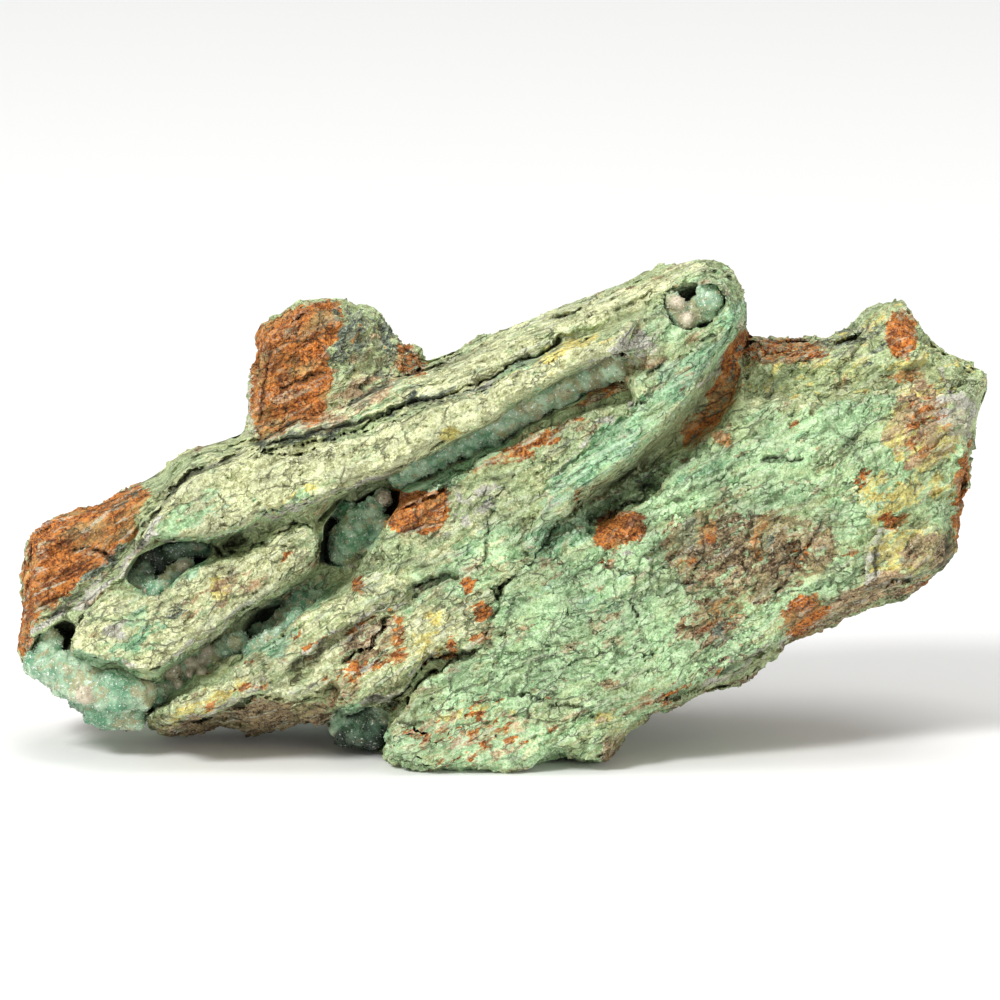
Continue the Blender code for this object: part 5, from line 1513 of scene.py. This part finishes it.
def crystal_tree():
    """Small crystal points strewn over a crust, with named sizes and a fixed seed."""
    sizes = (("Density", 2.0e6), ("Width", 0.0002), ("Length", 0.0006), ("Tilt", 0.5))
    tree, source, target = strewing_tree("Druse Points", sizes, ("Crust Finish", "Point Finish"))
    spread = node(tree, "GeometryNodeDistributePointsOnFaces", {
        "Mesh": source["Geometry"], "Density": source["Density"], "Seed": source["Seed"],
    })
    point = node(tree, "GeometryNodeMeshCone", {
        "Vertices": 5, "Radius Top": 0.0, "Radius Bottom": source["Width"], "Depth": source["Length"],
    })
    size = node(tree, "FunctionNodeRandomValue", {
        2: 0.45, 3: 1.35, "Seed": source["Seed"],
    }, data_type="FLOAT")
    placed = node(tree, "GeometryNodeInstanceOnPoints", {
        "Points": spread.outputs["Points"], "Instance": point.outputs["Mesh"],
        "Rotation": tilted(tree, source, spread.outputs["Rotation"], 6.28), "Scale": size.outputs[1],
    })
    real = node(tree, "GeometryNodeRealizeInstances", {"Geometry": placed.outputs[0]})
    points = node(tree, "GeometryNodeSetMaterial", {
        "Geometry": real.outputs[0], "Material": source["Point Finish"],
    })
    crust = node(tree, "GeometryNodeSetMaterial", {
        "Geometry": source["Geometry"], "Material": source["Crust Finish"],
    })
    joined = node(tree, "GeometryNodeJoinGeometry")
    tree.links.new(crust.outputs[0], joined.inputs[0])
    tree.links.new(points.outputs[0], joined.inputs[0])
    tree.links.new(joined.outputs[0], target["Geometry"])
    return tree


def crumb_tree():
    """Angular crumbs strewn over a rock and laid along its beds, with named sizes and a fixed seed."""
    sizes = (("Density", 1.0e6), ("Size", 0.0004), ("Stretch", 1.0), ("Tilt", 0.6), ("Sink", 0.0))
    tree, source, target = strewing_tree("Rock Crumbs", sizes, ("Finish",))
    where = node(tree, "GeometryNodeInputNamedAttribute", {"Name": "crumbly"}, data_type="FLOAT")
    spread = node(tree, "GeometryNodeDistributePointsOnFaces", {
        "Mesh": source["Geometry"], "Density": times(tree, source["Density"], where.outputs["Attribute"]),
        "Seed": source["Seed"],
    })
    sunk = node(tree, "ShaderNodeVectorMath", {
        0: spread.outputs["Normal"], "Scale": times(tree, source["Sink"], -1.0),
    }, operation="SCALE")
    lowered = node(tree, "GeometryNodeSetPosition", {
        "Geometry": spread.outputs["Points"], "Offset": sunk.outputs[0],
    })
    tone = node(tree, "FunctionNodeRandomValue", {2: -0.5, 3: 0.5, "Seed": source["Seed"]}, data_type="FLOAT")
    toned = node(tree, "GeometryNodeStoreNamedAttribute", {
        "Geometry": lowered.outputs[0], "Name": "own tone", "Value": tone.outputs[1],
    }, data_type="FLOAT", domain="POINT")
    crumb = node(tree, "GeometryNodeMeshIcoSphere", {"Radius": source["Size"], "Subdivisions": 1})
    bed = (math.cos(math.radians(BEDDING_ANGLE)), math.sin(math.radians(BEDDING_ANGLE)), 0)
    laid = node(tree, "FunctionNodeAxesToRotation", {
        "Primary Axis": spread.outputs["Normal"], "Secondary Axis": bed,
    }, primary_axis="Z", secondary_axis="X")
    uneven = node(tree, "FunctionNodeRandomValue", {
        0: (0.4, 0.4, 0.3), 1: (1.5, 1.2, 0.9), "Seed": source["Seed"],
    }, data_type="FLOAT_VECTOR")
    drawn_out = node(tree, "ShaderNodeCombineXYZ", {0: source["Stretch"], 1: 1.0, 2: 1.0})
    placed = node(tree, "GeometryNodeInstanceOnPoints", {
        "Points": toned.outputs[0], "Instance": crumb.outputs["Mesh"],
        "Rotation": tilted(tree, source, laid.outputs[0]),
        "Scale": stretched(tree, uneven.outputs[0], drawn_out.outputs[0]),
    })
    real = node(tree, "GeometryNodeRealizeInstances", {"Geometry": placed.outputs[0]})
    finished = node(tree, "GeometryNodeSetMaterial", {
        "Geometry": real.outputs[0], "Material": source["Finish"],
    })
    tree.links.new(finished.outputs[0], target["Geometry"])
    return tree


def set_inputs(modifier, values):
    """Sets a geometry modifier's inputs by the identifiers of their sockets."""
    for item in modifier.node_group.interface.items_tree:
        if item.item_type == "SOCKET" and item.in_out == "INPUT" and item.name in values:
            modifier[item.identifier] = values[item.name]


class StoneSettings(bpy.types.PropertyGroup):
    """Sizes and colours of the weathered rock."""

    edge_sharpness: bpy.props.FloatProperty(
        name="Edge sharpness", description="How much sharper the plates' edges are than the solid's", default=4.0)
    crumb_height: bpy.props.FloatProperty(
        name="Crumb height", description="How far the smallest crumbs stand out", default=0.00012, unit="LENGTH")
    reach: bpy.props.FloatProperty(
        name="Reach", description="How far the front may be moved onto its weathered surface", default=0.005,
        unit="LENGTH")
    least_facing: bpy.props.FloatProperty(
        name="Least facing", description="How much a face must look forwards to be moved", default=0.1)
    sage: bpy.props.FloatVectorProperty(
        name="Sage", description="Pale tone of the host rock", subtype="COLOR", default=(0.60, 0.72, 0.40))
    sage_dark: bpy.props.FloatVectorProperty(
        name="Dark sage", description="Dark tone of the host rock", subtype="COLOR", default=(0.28, 0.35, 0.16))
    cream: bpy.props.FloatVectorProperty(
        name="Cream", description="Pale tone of the cream", subtype="COLOR", default=(0.86, 0.90, 0.54))
    cream_dark: bpy.props.FloatVectorProperty(
        name="Dark cream", description="Dark tone of the cream", subtype="COLOR", default=(0.44, 0.45, 0.22))
    mint: bpy.props.FloatVectorProperty(
        name="Mint", description="Pale tone of the mint", subtype="COLOR", default=(0.62, 0.83, 0.49))
    mint_dark: bpy.props.FloatVectorProperty(
        name="Dark mint", description="Dark tone of the mint", subtype="COLOR", default=(0.30, 0.50, 0.24))
    yellow: bpy.props.FloatVectorProperty(
        name="Yellow", description="Pale tone of the yellow", subtype="COLOR", default=(0.86, 0.80, 0.28))
    yellow_dark: bpy.props.FloatVectorProperty(
        name="Dark yellow", description="Dark tone of the yellow", subtype="COLOR", default=(0.56, 0.44, 0.12))
    tan: bpy.props.FloatVectorProperty(
        name="Tan", description="Pale tone of the tan", subtype="COLOR", default=(0.68, 0.52, 0.31))
    tan_dark: bpy.props.FloatVectorProperty(
        name="Dark tan", description="Dark tone of the tan", subtype="COLOR", default=(0.36, 0.22, 0.11))
    crust_crack_depth: bpy.props.FloatProperty(
        name="Crust cracks", description="Depth of the cracks between the crust's cells", default=0.0003,
        unit="LENGTH")
    chalk: bpy.props.FloatVectorProperty(
        name="Chalk", description="Pale tone of the chalk", subtype="COLOR", default=(0.72, 0.70, 0.60))
    chalk_dark: bpy.props.FloatVectorProperty(
        name="Dark chalk", description="Dark tone of the chalk", subtype="COLOR", default=(0.38, 0.38, 0.30))
    umber: bpy.props.FloatVectorProperty(
        name="Umber", description="Pale tone of the umber", subtype="COLOR", default=(0.50, 0.37, 0.20))
    umber_dark: bpy.props.FloatVectorProperty(
        name="Dark umber", description="Dark tone of the umber", subtype="COLOR", default=(0.09, 0.055, 0.030))
    rust: bpy.props.FloatVectorProperty(
        name="Rust", description="Pale tone of the rust", subtype="COLOR", default=(0.72, 0.26, 0.050))
    rust_dark: bpy.props.FloatVectorProperty(
        name="Dark rust", description="Dark tone of the rust", subtype="COLOR", default=(0.19, 0.050, 0.012))
    slate: bpy.props.FloatVectorProperty(
        name="Slate", description="Pale tone of the slate", subtype="COLOR", default=(0.26, 0.31, 0.23))
    slate_dark: bpy.props.FloatVectorProperty(
        name="Dark slate", description="Dark tone of the slate", subtype="COLOR", default=(0.045, 0.058, 0.045))
    teal: bpy.props.FloatVectorProperty(
        name="Teal", description="Pale tone of the teal", subtype="COLOR", default=(0.42, 0.68, 0.38))
    teal_dark: bpy.props.FloatVectorProperty(
        name="Dark teal", description="Dark tone of the teal", subtype="COLOR", default=(0.11, 0.30, 0.14))


class DruseSettings(bpy.types.PropertyGroup):
    """Sizes and colours of the green druse."""

    pale: bpy.props.FloatVectorProperty(
        name="Pale druse", description="Pale tone of the druse", subtype="COLOR", default=(0.46, 0.62, 0.42))
    deep: bpy.props.FloatVectorProperty(
        name="Deep druse", description="Deep tone of the druse", subtype="COLOR", default=(0.10, 0.28, 0.15))
    stain: bpy.props.FloatVectorProperty(
        name="Stain", description="Colour of the druse's stains", subtype="COLOR", default=(0.44, 0.38, 0.20))
    # The crests' tint is a painted highlight
    crest: bpy.props.FloatVectorProperty(
        name="Crests", description="Colour of the druse's crests", subtype="COLOR", default=(0.70, 0.76, 0.62))
    nodule: bpy.props.FloatVectorProperty(
        name="Nodules", description="Pale tone of the nodules", subtype="COLOR", default=(0.62, 0.54, 0.40))
    nodule_dark: bpy.props.FloatVectorProperty(
        name="Dark nodules", description="Dark tone of the nodules", subtype="COLOR", default=(0.34, 0.30, 0.20))
    point_width: bpy.props.FloatProperty(
        name="Point width", description="Radius of a crystal point", default=0.00015, unit="LENGTH")
    point_length: bpy.props.FloatProperty(
        name="Point length", description="Length of a crystal point", default=0.00026, unit="LENGTH")
    point_density: bpy.props.FloatProperty(
        name="Point density", description="Crystal points to a square metre", default=2.0e6)
    knobs: bpy.props.IntProperty(
        name="Knobs", description="Small knobs on each grain", default=9)
    knob_size: bpy.props.FloatProperty(
        name="Knob size", description="Size of the small knobs, as a share of their grain", default=0.44)


class StageSettings(bpy.types.PropertyGroup):
    """The floor, the lights and the camera."""

    floor_colour: bpy.props.FloatVectorProperty(
        name="Floor", description="Colour of the floor", subtype="COLOR", default=(0.86, 0.86, 0.85))
    key_power: bpy.props.FloatProperty(
        name="Key light", description="Power of the light from above left", default=22.0, unit="POWER")
    fill_power: bpy.props.FloatProperty(
        name="Fill light", description="Power of the light from the front right", default=4.0, unit="POWER")
    top_power: bpy.props.FloatProperty(
        name="Top light", description="Power of the light overhead", default=8.0, unit="POWER")
    sky: bpy.props.FloatProperty(
        name="Sky", description="Strength of the even light from all round", default=0.50)
    distance: bpy.props.FloatProperty(
        name="Camera distance", description="How far off the camera stands", default=2.6, unit="LENGTH")


class MOONSTONE_OT_stone(bpy.types.Operator):
    """Make the weathered rock from the solid stone"""

    bl_idname = "moonstone.stone"
    bl_label = "Weathered Stone"

    def execute(self, context):
        settings = context.scene.moonstone_rock
        stone = node_copy("stone", "weathered_stone")
        remesh(stone, FORM_VOXEL)
        soften(stone, 0.5, 3)
        drape_front(stone.data, settings)
        remesh(stone, FINE_VOXEL)
        keep_largest_body(stone)
        drape_front(stone.data, settings)
        crumble(stone.data, settings)
        thin_out(stone, STONE_TRIANGLES, BACK_THINNING)
        paint(stone.data, settings)
        crumb_finish = rock_material("Rock Crumbs", settings, False)
        tree = crumb_tree()
        for seed, (name, kind) in enumerate(CRUMBS.items(), start=1):
            crumbs = new_piece(name, stone.data.copy())
            modifier = crumbs.modifiers.new("Crumbs", "NODES")
            modifier.node_group = tree
            set_inputs(modifier, {**kind, "Seed": seed, "Finish": crumb_finish})
            bake(crumbs)
            crumbs.data.transform(standing())
            keep_in_box(crumbs.data)
            crumbs.data.shade_flat()
            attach(crumbs, "root")
        stone.data.transform(standing())
        keep_in_box(stone.data)
        stone.data.materials.append(rock_material("Weathered Rock", settings, True))
        stone.data.shade_flat()
        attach(stone, "root")
        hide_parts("stone")
        return {"FINISHED"}


class MOONSTONE_OT_druse(bpy.types.Operator):
    """Make the green druse of every hollow"""

    bl_idname = "moonstone.druse"
    bl_label = "Green Druse"

    def execute(self, context):
        settings = context.scene.moonstone_druse
        crust_finish = druse_material(settings)
        point_finish = crystal_material(settings)
        points = crystal_tree()
        for seed, (name, runs) in enumerate(CRUSTS.items(), start=1):
            crust = new_piece("crust_of_" + name, knobbly_mesh(name, runs, settings, seed))
            remesh(crust, DRUSE_VOXEL)
            keep_largest_body(crust)
            points_of = vertices_of(crust.data)
            pushed = 0.00010 * layered_noise(points_of, 0.0011, 2, 91)
            pushed = pushed + 0.00006 * facets(points_of, 0.0008, 95)
            move_vertices(crust.data, points_of + normals_of(crust.data) * pushed[:, None])
            mark_druse(crust.data, name)
            crust.data.transform(standing())
            modifier = crust.modifiers.new("Points", "NODES")
            modifier.node_group = points
            set_inputs(modifier, {
                "Density": settings.point_density, "Width": settings.point_width, "Length": settings.point_length,
                "Seed": seed, "Crust Finish": crust_finish, "Point Finish": point_finish,
            })
            bake(crust)
            keep_in_box(crust.data)
            crust.data.shade_smooth()
            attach(crust, "root")
            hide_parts(name)
        return {"FINISHED"}


class MOONSTONE_OT_stage(bpy.types.Operator):
    """Make the floor, the lights and the camera"""

    bl_idname = "moonstone.stage"
    bl_label = "Stage"

    def execute(self, context):
        settings = context.scene.moonstone_stage
        scene = context.scene
        floor = bmesh.new()
        bmesh.ops.create_grid(floor, x_segments=1, y_segments=1, size=12)
        mesh = bpy.data.meshes.new("floor")
        floor.to_mesh(mesh)
        floor.free()
        ground = new_piece("floor", mesh)
        paper = bpy.data.materials.new("Pale Paper")
        paper.use_nodes = True
        shader = paper.node_tree.nodes["Principled BSDF"]
        shader.inputs["Base Color"].default_value = (*settings.floor_colour, 1)
        paper.node_tree.nodes["Principled BSDF"].inputs["Roughness"].default_value = 0.9
        mesh.materials.append(paper)
        self.light("key light", (-0.75, -0.95, 1.15), 0.38, settings.key_power)
        self.light("fill light", (0.95, -1.15, 0.45), 0.80, settings.fill_power)
        self.light("top light", (0.10, 0.15, 1.35), 0.90, settings.top_power)
        scene.world = bpy.data.worlds.new("Soft Box")
        scene.world.use_nodes = True
        sky = scene.world.node_tree.nodes["Background"]
        sky.inputs["Color"].default_value = (1, 1, 1, 1)
        sky.inputs["Strength"].default_value = settings.sky
        self.camera(scene, settings)
        scene.view_settings.view_transform = "Standard"
        return {"FINISHED"}

    def light(self, name, place, size, power):
        lamp = bpy.data.lights.new(name, "AREA")
        lamp.size = size
        lamp.energy = power
        made = bpy.data.objects.new(name, lamp)
        made.location = place
        made.rotation_euler = (Vector((0, 0, 0.04)) - Vector(place)).to_track_quat("-Z", "Y").to_euler()
        bpy.context.scene.collection.objects.link(made)

    def camera(self, scene, settings):
        """Looks straight at the face, which leans back, from where the grid's middle fills the picture."""
        lens = bpy.data.cameras.new("camera")
        lens.lens = lens.sensor_width * settings.distance / (1000 * GRID)
        made = bpy.data.objects.new("camera", lens)
        x, y = on_face(500, 500)
        made.matrix_world = standing() @ Matrix.Translation((x, y, settings.distance))
        scene.collection.objects.link(made)
        scene.camera = made


class MOONSTONE_PT_panel(bpy.types.Panel):
    """Lists the makers of the cluster and what a user would change"""

    bl_idname = "MOONSTONE_PT_panel"
    bl_label = "Green Moonstone Cluster"
    bl_space_type = "VIEW_3D"
    bl_region_type = "UI"
    bl_category = "Moonstone"

    def draw(self, context):
        layout = self.layout
        for operator, settings in (
            (MOONSTONE_OT_stone, context.scene.moonstone_rock),
            (MOONSTONE_OT_druse, context.scene.moonstone_druse),
            (MOONSTONE_OT_stage, context.scene.moonstone_stage),
        ):
            layout.operator(operator.bl_idname)
            for name in settings.bl_rna.properties.keys():
                if name not in ("rna_type", "name"):
                    layout.prop(settings, name)


CLASSES = (
    StoneSettings, DruseSettings, StageSettings, MOONSTONE_OT_stone, MOONSTONE_OT_druse, MOONSTONE_OT_stage,
    MOONSTONE_PT_panel,
)


def register():
    for kind in CLASSES:
        bpy.utils.register_class(kind)
    bpy.types.Scene.moonstone_rock = bpy.props.PointerProperty(type=StoneSettings)
    bpy.types.Scene.moonstone_druse = bpy.props.PointerProperty(type=DruseSettings)
    bpy.types.Scene.moonstone_stage = bpy.props.PointerProperty(type=StageSettings)


def unregister():
    del bpy.types.Scene.moonstone_stage
    del bpy.types.Scene.moonstone_druse
    del bpy.types.Scene.moonstone_rock
    for kind in reversed(CLASSES):
        bpy.utils.unregister_class(kind)


def plain(corners):
    return [[float(value) for value in corner] for corner in corners]


def main():
    register()
    bpy.ops.moonstone.stage()
    bpy.ops.moonstone.stone()
    bpy.ops.moonstone.druse()


if __name__ == "__main__":
    main()
